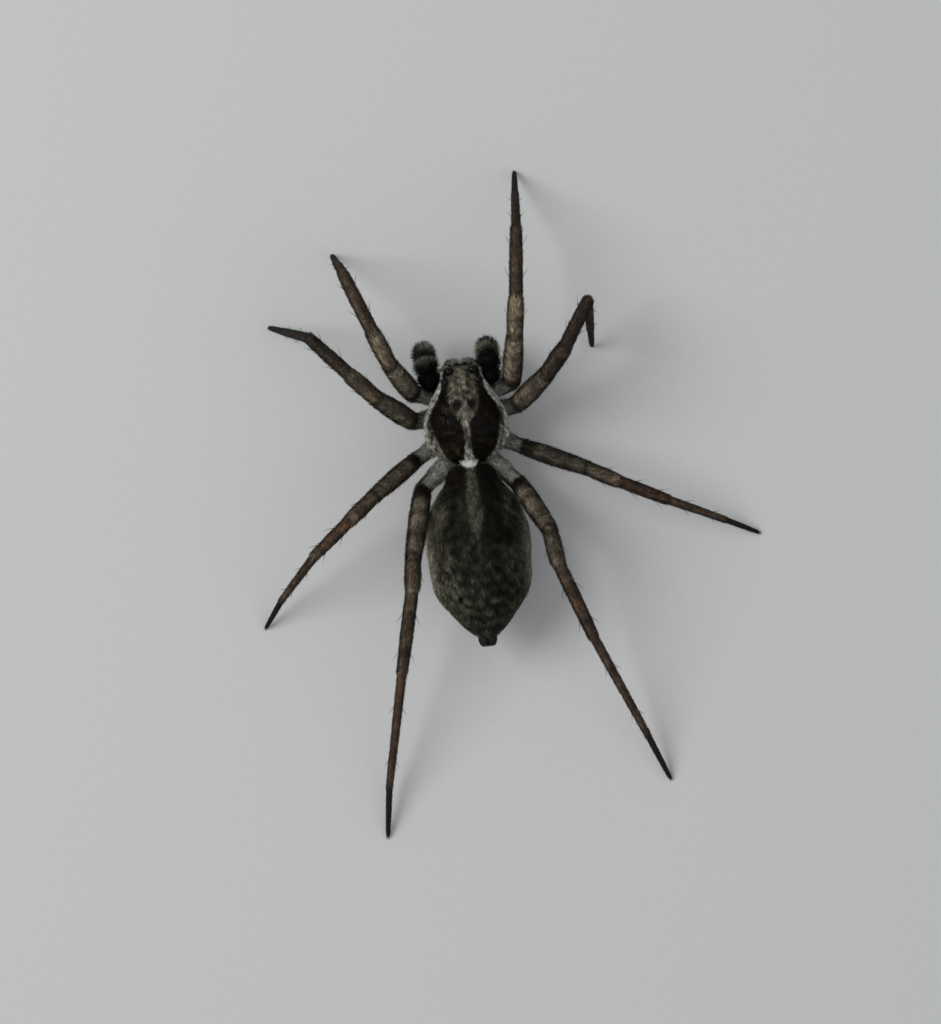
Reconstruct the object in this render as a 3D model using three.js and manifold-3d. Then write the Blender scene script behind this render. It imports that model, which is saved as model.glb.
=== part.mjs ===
// A wolf spider, standing still, at life size.
// Millimetres, +Z up. The head points to -Y and the spider's right side to -X.
// The origin is on the floor, under the middle of the space that the spider takes up.
// Every width is the width over the coat of hair.
import * as THREE from "three";
import { mergeVertices } from "three/addons/utils/BufferGeometryUtils.js";
import Module from "manifold-3d";

const wasm = await Module();
wasm.setup();

// Body. While it is built, Y = 0 is the waist, between carapace and abdomen.
const parting = 0.06; // thin cut between neighbouring pieces
const stalkFront = -0.02;
const stalkLength = 0.5;
const stalkRadius = 0.2;
const stalkHeight = 1.2;
const hipHeight = 1.12; // where the legs leave the sternum

// Each body runs from front to rear. A row of its form holds a place along it, then the half width, top,
// edge, underside and squareness of the section there. Blunt is 2 for elliptical ends and more for squarer.
const carapaceForm = [
  [-2.9, 0.92, 2.6, 1.7, 1.6, 2.2],
  [-2.5, 0.76, 2.64, 1.58, 1.5, 2.1],
  [-1.95, 0.95, 2.66, 1.5, 1.44, 2.1],
  [-1.4, 1.18, 2.6, 1.48, 1.42, 2.1],
  [-0.95, 1.23, 2.52, 1.48, 1.42, 2.1],
  [-0.5, 1.16, 2.34, 1.48, 1.42, 2.0],
  [-0.08, 0.86, 2.0, 1.5, 1.44, 2.0],
];
const sternumForm = [
  [-2.3, 0.3, 1.36, 1.2, 0.98, 2.4],
  [-1.6, 0.4, 1.36, 1.15, 0.84, 2.4],
  [-1.0, 0.38, 1.36, 1.15, 0.82, 2.4],
  [-0.3, 0.14, 1.36, 1.2, 1.0, 2.4],
];
const abdomenForm = [
  [-0.12, 1.85, 2.7, 1.66, 0.78, 2.0],
  [0.3, 1.3, 2.8, 1.66, 0.66, 2.0],
  [0.9, 1.4, 2.92, 1.68, 0.58, 2.0],
  [1.6, 1.49, 3.0, 1.72, 0.54, 2.0],
  [2.7, 1.45, 3.02, 1.75, 0.5, 2.0],
  [3.6, 1.47, 2.94, 1.72, 0.5, 2.0],
  [4.2, 1.25, 2.76, 1.65, 0.62, 2.0],
  [4.8, 1.12, 2.5, 1.6, 0.75, 2.0],
];
const carapaceBody = { form: carapaceForm, ends: [-2.9, -0.08], blunt: 3.4, facets: 24, rows: 13 };
const sternumBody = { form: sternumForm, ends: [-2.3, -0.3], blunt: 2.4, facets: 14, rows: 7 };
const abdomenBody = { form: abdomenForm, ends: [-0.12, 4.8], blunt: 2.0, facets: 24, rows: 16 };

// Eyes: a row of four small ones low on the face, two large ones above, two behind on the corners.
const eyeFacets = 8;
const eyeRows = 5;
const eyeParting = 0.025;
const eyes = [
  { name: "front_inner", radius: 0.07, out: 0.11, y: -2.87, z: 1.98 },
  { name: "front_outer", radius: 0.055, out: 0.3, y: -2.85, z: 1.95 },
  { name: "middle", radius: 0.13, out: 0.33, y: -2.69, z: 2.25 },
  { name: "rear", radius: 0.115, out: 0.46, y: -2.39, z: 2.29 },
];

// Jaws, mouth and feelers
const jaw = { top: [0.26, -2.68, 1.5], bottom: [0.225, -2.88, 0.68] };
const jawRadii = [0.19, 0.22, 0.22, 0.15];
const jawFacets = 10;
const fangLength = 0.24;
const fangRadius = 0.07;
const fangFacets = 6;
const fangTurn = 70; // degrees inwards from the jaw's own axis
const fangOffset = 0.01; // inwards from that axis
// Middle line of each feeler: its root, knee, wrist and tip.
const rightFeeler = [
  [-0.36, -2.52, 1.12],
  [-0.8, -2.49, 1.62],
  [-0.8, -3.0, 1.7],
  [-0.79, -3.42, 1.1],
];
const leftFeeler = [
  [0.36, -2.52, 1.12],
  [0.83, -2.49, 1.62],
  [0.97, -3.02, 1.7],
  [0.99, -3.45, 1.1],
];
const feelerBaseRadii = [0.17, 0.235, 0.27, 0.27];
const feelerMiddleRadii = [0.27, 0.325, 0.335, 0.3];
const feelerTipRadii = [0.31, 0.33, 0.28, 0.17];

// Spinnerets: a front pair, a rear pair, one in the middle for the small pair there, and the flattened
// ring that carries them.
const spinneretRoot = 4.7;
const spinneretHeight = 1.5;
const ringRadii = [0.25, 0.28, 0.26];
const ringLength = 0.12;
const ringFlatness = 0.75;
const ringFacets = 8;
const fingerRadii = [0.13, 0.085];
const fingerLength = 0.3;
const fingerStart = 0.02; // behind the front of the ring
const fingerFacets = 5;
const fingerPlaces = [
  [-0.11, -0.09],
  [0.11, -0.09],
  [-0.1, 0.09],
  [0.1, 0.09],
  [0, 0],
];

// Legs. Hips sit at the edge of the sternum: distance out from the middle and place along the body.
const hips = [
  { out: 0.44, y: -2.02 },
  { out: 0.56, y: -1.45 },
  { out: 0.54, y: -0.93 },
  { out: 0.4, y: -0.38 },
];
// Lengths of coxa, femur, patella, tibia and foot, for leg pairs 1 to 4.
const boneLengths = [
  [0.97, 2.25, 1.08, 2.02, 2.78],
  [0.93, 2.15, 0.97, 1.63, 2.8],
  [1.11, 2.03, 0.96, 1.61, 2.98],
  [1.32, 2.73, 1.11, 2.47, 4.92],
];
// Turns are degrees outwards from straight ahead, for coxa, femur, patella, tibia and foot.
// Rises are degrees up from level, for femur, patella and tibia; the foot comes down to the floor.
const stances = {
  right: [
    { turns: [77, 9, 8, 6, 5], rises: [57, -19, -10] },
    { turns: [80, 51, 40, 32, 176], rises: [59, 24, -25] },
    { turns: [117, 115, 118, 116, 115], rises: [26, -10, -21] },
    { turns: [137, 153, 171, 160, 157], rises: [56, -34, -21] },
  ],
  left: [
    { turns: [80, 34, 22, 21, 25], rises: [65, 23, -24] },
    { turns: [91, 53, 43, 42, 66], rises: [59, 4, -15] },
    { turns: [121, 126, 129, 129, 139], rises: [42, 4, -27] },
    { turns: [131, 167, 172, 167, 169], rises: [46, -39, -17] },
  ],
};
const coxaRise = 7;
const toeHeight = 0.19; // middle of the rounded toe, less than its radius, so that it stands on a flat
const legFacets = 8;
// Radii along each piece, from its near end to its far end.
const boneRadii = {
  coxa: [0.21, 0.24, 0.25, 0.25],
  femur: [0.25, 0.29, 0.305, 0.285, 0.25],
  patella: [0.25, 0.27, 0.265, 0.245],
  tibia: [0.245, 0.255, 0.25, 0.24],
  foot: [0.24, 0.24, 0.235, 0.23],
};
const bones = Object.keys(boneRadii);
const sides = ["right", "left"];

const colours = {
  carapace: 0x2a211a,
  underside: 0x4a4238,
  abdomen: 0x3d3a2f,
  eye: 0x050505,
  jaw: 0x3a281c,
  feeler: 0x1c1815,
  coxa: 0x6b6558,
  femur: 0x4f4336,
  patella: 0x6a5a44,
  tibia: 0x54372a,
  foot: 0x3a2a20,
};

const radians = THREE.MathUtils.degToRad;
const up = new THREE.Vector3(0, 1, 0); // the long axis of a lathe
const outward = (side) => (side === "right" ? -1 : 1);
const power = (value, exponent) => Math.sign(value) * Math.abs(value) ** exponent;

// A closed geometry as a solid.
function solid(geometry) {
  const bare = geometry.clone();
  bare.deleteAttribute("normal");
  bare.deleteAttribute("uv");
  const merged = mergeVertices(bare, 1e-4);
  return new wasm.Manifold(
    new wasm.Mesh({
      numProp: 3,
      vertProperties: merged.attributes.position.array,
      triVerts: new Uint32Array(merged.index.array),
    }),
  );
}

// A solid as a geometry.
function geometryOf(body) {
  const mesh = body.getMesh();
  return new THREE.BufferGeometry()
    .setAttribute("position", new THREE.BufferAttribute(mesh.vertProperties, 3))
    .setIndex(new THREE.BufferAttribute(mesh.triVerts, 1))
    .toNonIndexed();
}

function piece(name, geometry, colour, roughness = 0.8) {
  const material = new THREE.MeshStandardMaterial({ color: colour, roughness, metalness: 0 });
  geometry.computeVertexNormals();
  const mesh = new THREE.Mesh(geometry, material);
  mesh.name = name;
  return mesh;
}

// The block that fills all behind a plane through a point, and half a parting in front of it.
function blockBehind(normal, point, size = 30) {
  const block = new THREE.BoxGeometry(size, size, size);
  block.translate(0, 0, (parting - size) / 2);
  block.applyQuaternion(new THREE.Quaternion().setFromUnitVectors(new THREE.Vector3(0, 0, 1), normal));
  block.translate(point.x, point.y, point.z);
  return solid(block);
}

// A body that runs along Y. A sphere's poles go to its ends and each vertex goes to the form's section
// at its place: half width sideways, then up to the top or down to the underside from the edge.
// Grown by a margin, it is the space that its neighbours are cut away from.
function bodyAlong({ form, ends, blunt, facets, rows }, margin = 0) {
  const [front, rear] = [ends[0] - margin, ends[1] + margin];
  const places = form.map((row) => row[0]);
  const values = form.flatMap((row) => row.slice(1));
  const curve = new THREE.CubicInterpolant(places, values, form[0].length - 1);
  const geometry = new THREE.SphereGeometry(1, facets, rows);
  const position = geometry.attributes.position;
  const uv = geometry.attributes.uv;
  for (let i = 0; i < position.count; i += 1) {
    const pole = Math.PI * (1 - uv.getY(i));
    const around = 2 * Math.PI * uv.getX(i);
    const along = power(Math.cos(pole), 2 / blunt);
    const full = Math.max(0, 1 - Math.abs(along) ** blunt) ** (1 / blunt);
    const y = (front + rear) / 2 + (along * (rear - front)) / 2;
    const [half, top, edge, underside, square] = curve.evaluate(y);
    const across = -power(Math.cos(around), 2 / square) * (half + margin);
    const height = margin + (Math.sin(around) > 0 ? top - edge : edge - underside);
    const rise = power(Math.sin(around), 2 / square) * height;
    position.setXYZ(i, across * full, y, edge + rise * full);
  }
  return geometry;
}

// A round limb along Y from 0 to its length, with ball ends, so that it meets its neighbour at any bend.
function limb(radii, length, facets = legFacets) {
  const first = radii[0];
  const last = radii[radii.length - 1];
  const half = Math.SQRT1_2; // each ball end has one step, half way round
  const profile = [new THREE.Vector2(0, -first), new THREE.Vector2(first * half, -first * half)];
  radii.forEach((radius, i) => {
    profile.push(new THREE.Vector2(radius, (length * i) / (radii.length - 1)));
  });
  profile.push(new THREE.Vector2(last * half, length + last * half));
  profile.push(new THREE.Vector2(0, length + last));
  return new THREE.LatheGeometry(profile, facets);
}

// A chain of limbs from joint to joint, each { name, colour, radii }. Neighbours part on the plane
// that halves their bend. Every limb keeps out of the taken space, and ends at the floor.
function chain(group, joints, limbs, taken) {
  const directions = limbs.map((_, i) => joints[i + 1].clone().sub(joints[i]).normalize());
  limbs.forEach(({ name, colour, radii }, i) => {
    const turn = new THREE.Quaternion().setFromUnitVectors(up, directions[i]);
    const place = new THREE.Matrix4().compose(joints[i], turn, new THREE.Vector3(1, 1, 1));
    const geometry = limb(radii, joints[i].distanceTo(joints[i + 1])).applyMatrix4(place);
    let body = solid(geometry).subtract(belowFloor).subtract(taken);
    if (i > 0) {
      const normal = directions[i - 1].clone().add(directions[i]).normalize();
      body = body.subtract(blockBehind(normal, joints[i]));
    }
    if (i < limbs.length - 1) {
      const normal = directions[i].clone().add(directions[i + 1]).normalize().negate();
      body = body.subtract(blockBehind(normal, joints[i + 1]));
    }
    const mesh = piece(name, geometryOf(body).applyMatrix4(place.invert()), colour);
    mesh.position.copy(joints[i]);
    mesh.quaternion.copy(turn);
    group.add(mesh);
  });
}

// The way from one joint to the next.
function bone(side, turn, rise, length) {
  const level = length * Math.cos(radians(rise));
  const x = outward(side) * level * Math.sin(radians(turn));
  return new THREE.Vector3(x, -level * Math.cos(radians(turn)), length * Math.sin(radians(rise)));
}

// Joints of one leg, from the hip to the toe.
function legJoints(side, pair) {
  const { turns, rises } = stances[side][pair];
  const lengths = boneLengths[pair];
  const joints = [new THREE.Vector3(outward(side) * hips[pair].out, hips[pair].y, hipHeight)];
  [coxaRise, ...rises].forEach((rise, i) => {
    joints.push(joints[i].clone().add(bone(side, turns[i], rise, lengths[i])));
  });
  const ankle = joints[4];
  const fall = THREE.MathUtils.radToDeg(Math.asin((ankle.z - toeHeight) / lengths[4]));
  joints.push(ankle.clone().add(bone(side, turns[4], -fall, lengths[4])));
  return joints;
}

function leg(side, pair) {
  const group = new THREE.Group();
  const limbs = bones.map((bone) => ({
    name: `${side}_leg_${pair + 1}_${bone}`,
    colour: colours[bone],
    radii: boneRadii[bone],
  }));
  chain(group, legJoints(side, pair), limbs, trunkSpace);
  return group;
}

function feeler(side, points) {
  const group = new THREE.Group();
  const joints = points.map((point) => new THREE.Vector3(...point));
  const limbs = [
    { name: `${side}_feeler_base`, colour: colours.coxa, radii: feelerBaseRadii },
    { name: `${side}_feeler_middle`, colour: colours.feeler, radii: feelerMiddleRadii },
    { name: `${side}_feeler_tip`, colour: colours.feeler, radii: feelerTipRadii },
  ];
  const jawSpace = solid(jawBlock(side, parting).applyMatrix4(jawPlace(side)));
  chain(group, joints, limbs, trunkSpace.add(jawSpace));
  return group;
}

// Each jaw hangs from the face with its long axis from its top to its bottom.
function jawPlace(side) {
  const ends = [jaw.top, jaw.bottom];
  const [top, bottom] = ends.map(([out, y, z]) => new THREE.Vector3(outward(side) * out, y, z));
  const turn = new THREE.Quaternion().setFromUnitVectors(up, bottom.sub(top).normalize());
  return new THREE.Matrix4().compose(top, turn, new THREE.Vector3(1, 1, 1));
}

function jawBlock(side, margin = 0) {
  const length = new THREE.Vector3(...jaw.top).distanceTo(new THREE.Vector3(...jaw.bottom));
  return limb(jawRadii.map((radius) => radius + margin), length, jawFacets);
}

// A short fang is folded from the end of the jaw towards its twin.
function chelicera(side) {
  const place = jawPlace(side);
  const block = jawBlock(side);
  const end = new THREE.Box3().setFromBufferAttribute(block.attributes.position).max.y;
  const fang = new THREE.ConeGeometry(fangRadius, fangLength, fangFacets);
  fang.rotateZ(outward(side) * radians(fangTurn));
  fang.translate(-outward(side) * fangOffset, end - fangRadius, 0);
  const whole = solid(block.applyMatrix4(place)).add(solid(fang.applyMatrix4(place)));
  const parted = geometryOf(whole.subtract(trunkSpace)).applyMatrix4(place.clone().invert());
  const mesh = piece(`${side}_jaw`, parted, colours.jaw, 0.5);
  mesh.applyMatrix4(place);
  return mesh;
}

// Eyes in sockets: each socket is the eye's own ball, a little wider.
function addEyes(group, head) {
  let carved = head;
  sides.forEach((side) => {
    eyes.forEach((eye) => {
      const place = [outward(side) * eye.out, eye.y, eye.z];
      const socket = new THREE.SphereGeometry(eye.radius + eyeParting, eyeFacets, eyeRows);
      carved = carved.subtract(solid(socket.translate(...place)));
      const ball = new THREE.SphereGeometry(eye.radius, eyeFacets, eyeRows);
      const mesh = piece(`${side}_eye_${eye.name}`, ball, colours.eye, 0.1);
      mesh.position.set(...place);
      group.add(mesh);
    });
  });
  return carved;
}

function spinnerets() {
  const ring = limb(ringRadii, ringLength, ringFacets);
  ring.scale(1, 1, ringFlatness);
  let joined = solid(ring);
  fingerPlaces.forEach(([x, z]) => {
    const finger = limb(fingerRadii, fingerLength, fingerFacets);
    joined = joined.add(solid(finger.translate(x, fingerStart, z)));
  });
  const home = geometryOf(joined).translate(0, spinneretRoot, spinneretHeight);
  const parted = geometryOf(solid(home).subtract(abdomenSpace));
  const mesh = piece("spinnerets", parted.translate(0, -spinneretRoot, -spinneretHeight), colours.feeler);
  mesh.position.set(0, spinneretRoot, spinneretHeight);
  return mesh;
}

const body = new THREE.Group();
const frontSpace = solid(bodyAlong(carapaceBody, parting)).add(solid(bodyAlong(sternumBody, parting)));
const abdomenSpace = solid(bodyAlong(abdomenBody, parting));
const trunkSpace = frontSpace.add(abdomenSpace);
const belowFloor = blockBehind(new THREE.Vector3(0, 0, 1), new THREE.Vector3(0, 0, -parting / 2));

const carapace = addEyes(body, solid(bodyAlong(carapaceBody)));
body.add(piece("carapace", geometryOf(carapace), colours.carapace, 0.55));
body.add(piece("sternum", bodyAlong(sternumBody), colours.underside));

// The waist is a short stalk that belongs to the abdomen.
const stalk = limb([stalkRadius, stalkRadius, stalkRadius], stalkLength);
stalk.translate(0, stalkFront, stalkHeight);
const abdomen = solid(bodyAlong(abdomenBody)).add(solid(stalk)).subtract(frontSpace);
body.add(piece("abdomen", geometryOf(abdomen), colours.abdomen));
body.add(spinnerets());

sides.forEach((side) => {
  body.add(chelicera(side));
  body.add(feeler(side, side === "right" ? rightFeeler : leftFeeler));
  hips.forEach((_, pair) => {
    body.add(leg(side, pair));
  });
});

// The middle of the spider's own box goes over the origin.
const reach = new THREE.Box3().setFromObject(body, true);
const middle = reach.getCenter(new THREE.Vector3());
body.position.set(-middle.x, -middle.y, 0);

const spider = new THREE.Group();
spider.add(body);

export default spider;
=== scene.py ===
import bpy
import numpy as np
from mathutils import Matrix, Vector


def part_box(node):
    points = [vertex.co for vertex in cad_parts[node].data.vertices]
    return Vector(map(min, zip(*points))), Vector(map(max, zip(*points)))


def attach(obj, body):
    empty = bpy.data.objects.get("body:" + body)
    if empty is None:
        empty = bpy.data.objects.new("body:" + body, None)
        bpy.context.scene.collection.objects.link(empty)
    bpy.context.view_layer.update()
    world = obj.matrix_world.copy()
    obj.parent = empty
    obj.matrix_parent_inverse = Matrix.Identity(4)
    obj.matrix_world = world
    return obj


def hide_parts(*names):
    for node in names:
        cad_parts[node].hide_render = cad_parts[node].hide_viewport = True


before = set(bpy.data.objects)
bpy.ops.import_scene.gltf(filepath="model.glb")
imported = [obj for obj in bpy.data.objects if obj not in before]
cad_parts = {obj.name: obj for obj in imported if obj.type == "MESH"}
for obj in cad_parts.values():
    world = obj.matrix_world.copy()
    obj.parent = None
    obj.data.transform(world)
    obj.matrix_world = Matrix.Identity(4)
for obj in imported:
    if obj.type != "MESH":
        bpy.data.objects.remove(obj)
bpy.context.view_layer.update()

print("frame loaded:", len(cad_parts), "nodes")

# The spider is worked out in millimetres: the waist at y = 0, the head towards -y,
# its right side towards -x and the floor at z = 0. The frame says where the waist is.
mm = 0.001
headReach = 2.9     # from the waist to the front of the head
headLow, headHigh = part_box("carapace")
waist = np.array([(headLow.x + headHigh.x) / 2, headLow.y + headReach * mm, 0.0])
sides = {"right": -1, "left": 1}
mirrors = [np.array([side, 1, 1]) for side in sides.values()]
floorGap = 0.004    # hair and claws that meet the floor lie flat this far above it


# Small tools

def unit(v):
    return v / np.maximum(np.linalg.norm(v, axis=-1, keepdims=True), 1e-12)


def smooth(value, low, high):
    # an S-curve from 0 at low to 1 at high
    t = np.clip((value - low) / (high - low), 0, 1)
    return t * t * (3 - 2 * t)


def line(value, centre, width):
    # 1 on the centre line, falling softly to 0 at the width
    return 1 - smooth(np.abs(value - centre), width * 0.35, width)


def spot(across, along, centre, radius):
    # 1 in the middle of a soft round spot, 0 outside it
    return 1 - smooth(np.hypot(across - centre[0], along - centre[1]), radius * 0.45, radius)


def mix(base, other, share):
    # base goes towards other by its share, 0 to 1
    return base + (np.asarray(other, float) - base) * np.asarray(share)[..., None]


def follow(rows, at):
    # a smooth curve through rows of (place, values...): cubic pieces with the slopes of the rows
    rows = np.asarray(rows, float)
    place, value = rows[:, 0], rows[:, 1:]
    slope = np.gradient(value, place, axis=0)
    at = np.clip(at, place[0], place[-1])
    i = np.clip(np.searchsorted(place, at, side="right") - 1, 0, len(place) - 2)
    step = (place[i + 1] - place[i])[..., None]
    t = (at - place[i])[..., None] / step
    rise = (2 * t**3 - 3 * t**2 + 1) * value[i] + (3 * t**2 - 2 * t**3) * value[i + 1]
    bend = (t**3 - 2 * t**2 + t) * slope[i] + (t**3 - t**2) * slope[i + 1]
    return np.moveaxis(rise + bend * step, -1, 0)


def shades(rows, at):
    # colours along a line, straight between the rows
    rows = np.asarray(rows, float)
    return np.stack([np.interp(at, rows[:, 0], rows[:, k]) for k in (1, 2, 3)], -1)


def mottle(points, fineness, seed):
    # a cloudy pattern from -1 to 1: the mean of eleven sine waves in turned directions
    rng = np.random.default_rng(seed)
    waves = unit(rng.normal(size=(11, 3))) * fineness * rng.uniform(0.7, 1.3, (11, 1))
    return np.clip(np.sin(points @ waves.T + rng.uniform(0, 6.3, 11)).mean(-1) * 2.6, -1, 1)


def light(colour):
    # display colours of 0 to 255 as linear light
    c = np.clip(np.asarray(colour, float) / 255, 0, 1)
    return np.where(c <= 0.04045, c / 12.92, ((c + 0.055) / 1.055) ** 2.4)


# Surfaces: each shape takes s, 0 to 1 from its near end to its far end,
# and a, 0 to 1 once around it from its underside, and gives points.

def trunkForm(body):
    # sections along y between two round ends: a section is a squared circle, half wide sideways,
    # and from its edge up to the top and down to the underside; an end closes as a squared circle too.
    # All of it lies inside those sizes by the depth of the coat.
    front = body["ends"][0] + body.get("frontCoat", body["coat"])
    rear = body["ends"][1] - body["coat"]

    def shape(s, a):
        along = -np.cos(np.pi * s)
        full = (1 - np.abs(along) ** body["blunt"]) ** (1 / body["blunt"])
        y = (front + rear) / 2 + along * (rear - front) / 2
        half, top, edge, under, square = follow(body["form"], y)
        turn = 2 * np.pi * a - np.pi / 2
        reach = (np.abs(np.cos(turn)) ** square + np.abs(np.sin(turn)) ** square) ** (-1 / square)
        height = np.where(np.sin(turn) > 0, top - edge, edge - under) - body["coat"]
        x = np.cos(turn) * reach * (half - body["coat"]) * full
        return np.stack([x, y, edge + np.sin(turn) * reach * height * full], -1)

    return shape


def limbForm(start, end, radii, cap=0.8, bow=0.0, flat=1.0):
    # a round limb from start to end: its radius follows the radii, an ellipse of cap radii long
    # closes each end, and the middle line bows upwards as a parabola; flat widens it sideways
    start, end = np.asarray(start, float), np.asarray(end, float)
    length = np.linalg.norm(end - start)
    ahead = (end - start) / length
    above = np.array([0.0, 0.0, 1.0]) if abs(ahead[2]) < 0.95 else np.array([0.0, -1.0, 0.0])
    above = unit(above - (above @ ahead) * ahead)
    beside = np.cross(ahead, above)
    rows = [(i / (len(radii) - 1), r) for i, r in enumerate(radii)]

    def shape(s, a):
        u = (1 - np.cos(np.pi * s)) / 2
        turn = 2 * np.pi * a - np.pi / 2
        radius = follow(rows, u)[0]
        room = np.clip(np.minimum(u, 1 - u) * length / (cap * radius), 0, 1)
        radius = radius * np.sqrt(1 - (1 - room) ** 2)
        centre = start + u[..., None] * (end - start) + (bow * 4 * u * (1 - u))[..., None] * above
        across = (np.cos(turn) * radius * flat)[..., None] * beside
        return centre + across + (np.sin(turn) * radius)[..., None] * above

    return shape


def ballForm(centre, radius):
    # a ball whose poles lie along y
    def shape(s, a):
        pole, turn = np.pi * s, 2 * np.pi * a - np.pi / 2
        ring = np.sin(pole)
        way = np.stack([ring * np.cos(turn), -np.cos(pole), ring * np.sin(turn)], -1)
        return np.asarray(centre) + radius * way

    return shape


def surfaceFrame(shape, s, a, step=1e-4):
    # the point, the outward direction, the direction of the lie and the area for each unit of s and a,
    # from small steps both ways
    s = np.clip(s, step, 1 - step)
    alongS = (shape(s + step, a) - shape(s - step, a)) / (2 * step)
    alongA = (shape(s, a + step) - shape(s, a - step)) / (2 * step)
    out = np.cross(alongS, alongA)
    return shape(s, a), unit(out), unit(alongS), np.linalg.norm(out, axis=-1)


def embossed(shape, relief):
    # the shape moved along its outward direction by relief(points), in millimetres
    def raised(s, a):
        points, out, _, _ = surfaceFrame(shape, s, a)
        return points + out * relief(points)[..., None]

    return raised


# Meshes. A part has a shape, a tint that gives its colours, and the rings and spokes of its grid.
# Where hair grows it has a coat, and may say how thickly and how long, how combed and in what tint.

def closedShell(part):
    # rings of points between two poles, joined by four-sided faces, with a fan at each pole
    rings, spokes = part["grid"]
    s, a = np.meshgrid(np.arange(1, rings) / rings, np.arange(spokes) / spokes, indexing="ij")
    s, a = np.append(s, [0, 1]), np.append(a, [0, 0])
    points, out = part["shape"](s, a), surfaceFrame(part["shape"], s, a)[1]
    i, j = np.meshgrid(np.arange(rings - 2), np.arange(spokes), indexing="ij")
    i, j = i.ravel(), j.ravel()
    k = (j + 1) % spokes
    quads = np.stack([i * spokes + j, (i + 1) * spokes + j, (i + 1) * spokes + k, i * spokes + k], -1)
    quadPlaces = np.stack([s[quads], np.stack([j, j, j + 1, j + 1], -1) / spokes], -1)
    j = np.arange(spokes)
    k = (j + 1) % spokes
    near, far, last = len(points) - 2, len(points) - 1, (rings - 2) * spokes
    fans = np.concatenate([
        np.stack([np.full(spokes, near), j, k], -1),
        np.stack([last + j, np.full(spokes, far), last + k], -1),
    ])
    turns = np.concatenate([np.stack([j + 0.5, j, j + 1], -1), np.stack([j, j + 0.5, j + 1], -1)])
    fanPlaces = np.stack([s[fans], turns / spokes], -1)
    return points, part["tint"](points, out, s, a), (quads, fans), (quadPlaces, fanPlaces)


def meshObject(name, points, colours, faces, unwrap, places, material):
    # points and colours are lists of arrays; faces, and the places of their corners on the unwrap,
    # are two such lists each, one for each number of corners
    points, colours = np.concatenate(points), np.concatenate(colours)
    faces, places = [np.concatenate(f) for f in faces], [np.concatenate(p) for p in places]
    points = np.maximum(points, [-np.inf, -np.inf, floorGap])
    sizes = np.concatenate([np.full(len(f), f.shape[1]) for f in faces])
    corners = np.concatenate([f.ravel() for f in faces])
    mesh = bpy.data.meshes.new(name)
    mesh.vertices.add(len(points))
    mesh.vertices.foreach_set("co", (points * mm + waist).ravel())
    mesh.loops.add(len(corners))
    mesh.loops.foreach_set("vertex_index", corners)
    mesh.polygons.add(len(sizes))
    mesh.polygons.foreach_set("loop_start", np.concatenate([[0], np.cumsum(sizes)[:-1]]))
    mesh.polygons.foreach_set("loop_total", sizes)
    mesh.polygons.foreach_set("use_smooth", np.ones(len(sizes), bool))
    layer = mesh.uv_layers.new(name=unwrap)
    layer.data.foreach_set("uv", np.concatenate([p.reshape(-1, 2) for p in places]).ravel())
    tint = mesh.color_attributes.new("tint", "FLOAT_COLOR", "POINT")
    tint.data.foreach_set("color", np.column_stack([light(colours), np.ones(len(points))]).ravel())
    mesh.update()
    mesh.validate()
    mesh.materials.append(material)
    made = bpy.data.objects.new(name, mesh)
    bpy.context.scene.collection.objects.link(made)
    return made


def spread(part):
    # the girth and the length of a part's surface: the way round its middle and the way over its top
    turn = np.linspace(0, 1, 60)
    around, over = part["shape"](np.full(60, 0.5), turn), part["shape"](turn, np.full(60, 0.5))
    return [np.linalg.norm(np.diff(way, axis=0), axis=-1).sum() for way in (around, over)]


def shellObject(name, parts, material):
    # the closed shells of several parts in one mesh; its map has millimetres around and along each part
    points, colours, faces, places, count = [], [], [[], []], [[], []], 0
    for part in parts:
        p, c, corners, spots = closedShell(part)
        size = spread(part)
        for k in (0, 1):
            faces[k].append(corners[k] + count)
            places[k].append(spots[k][..., ::-1] * size)
        points.append(p)
        colours.append(c)
        count += len(p)
    return meshObject(name, points, colours, faces, "lie", places, material)


# Tufts: each is a thin bent spike, three-sided at its root and in its middle, with one tip.
tuft = {
    "turns": (90, 210, 330),         # of its three corners, in degrees
    "rings": (0.5, 0.42),            # radius at the root and in the middle, in widths
    # painted light: the middle keeps its tone and the tip is painted lighter
    "paintedRingLight": (1, 1.12),          # of the middle and the tip
    "sunk": 0.5,                     # how deep the root stands in the skin, in widths
    "bends": (1.15, 0.55),           # lift of the lower and the upper half, as a share of the whole
    "lengths": (0.7, 1.25),          # least and most, as a share of the coat's length
    "widths": (0.75, 1.25),
    "liftSpread": 0.35,
    "liftLimits": (3, 80),
    "paleTone": 1.25,
    "paleFrost": (20, 19, 16),
    "patch": 0.003,                  # side of each tuft's place on the unwrap
    "most": 19500,                   # of them in one piece
    "quickShare": 0.25,
}
# A coat says how long and wide its tufts are, and how far they lift and sway, in degrees.
# What it has unless it says otherwise: share of pale tufts and how frosted they are,
# how far the tones of the tufts differ, and how far their roots are darkened as painted shade among the
# hairs.
plainCoat = {"pale": 0.12, "frost": 1, "vary": 0.3, "rootPaintedShade": 0.62}
tuftFaces = [
    np.array([[0, 3, 4, 1], [1, 4, 5, 2], [2, 5, 3, 0]]),
    np.array([[3, 6, 4], [4, 6, 5], [5, 6, 3], [0, 1, 2]]),
]
tuftPlaces = [
    np.array([[(k, 0), (k, 1.5), (k + 1, 1.5), (k + 1, 0)] for k in range(3)]) / 3 * tuft["patch"],
    np.array([[(0, 1.5), (0.5, 3), (1, 1.5)], [(1, 1.5), (1.5, 3), (2, 1.5)],
              [(2, 1.5), (2.5, 3), (3, 1.5)], [(0, 0), (3, 0), (1.5, 0.1)]]) / 3 * tuft["patch"],
]
tuftPoints = 7


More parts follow.
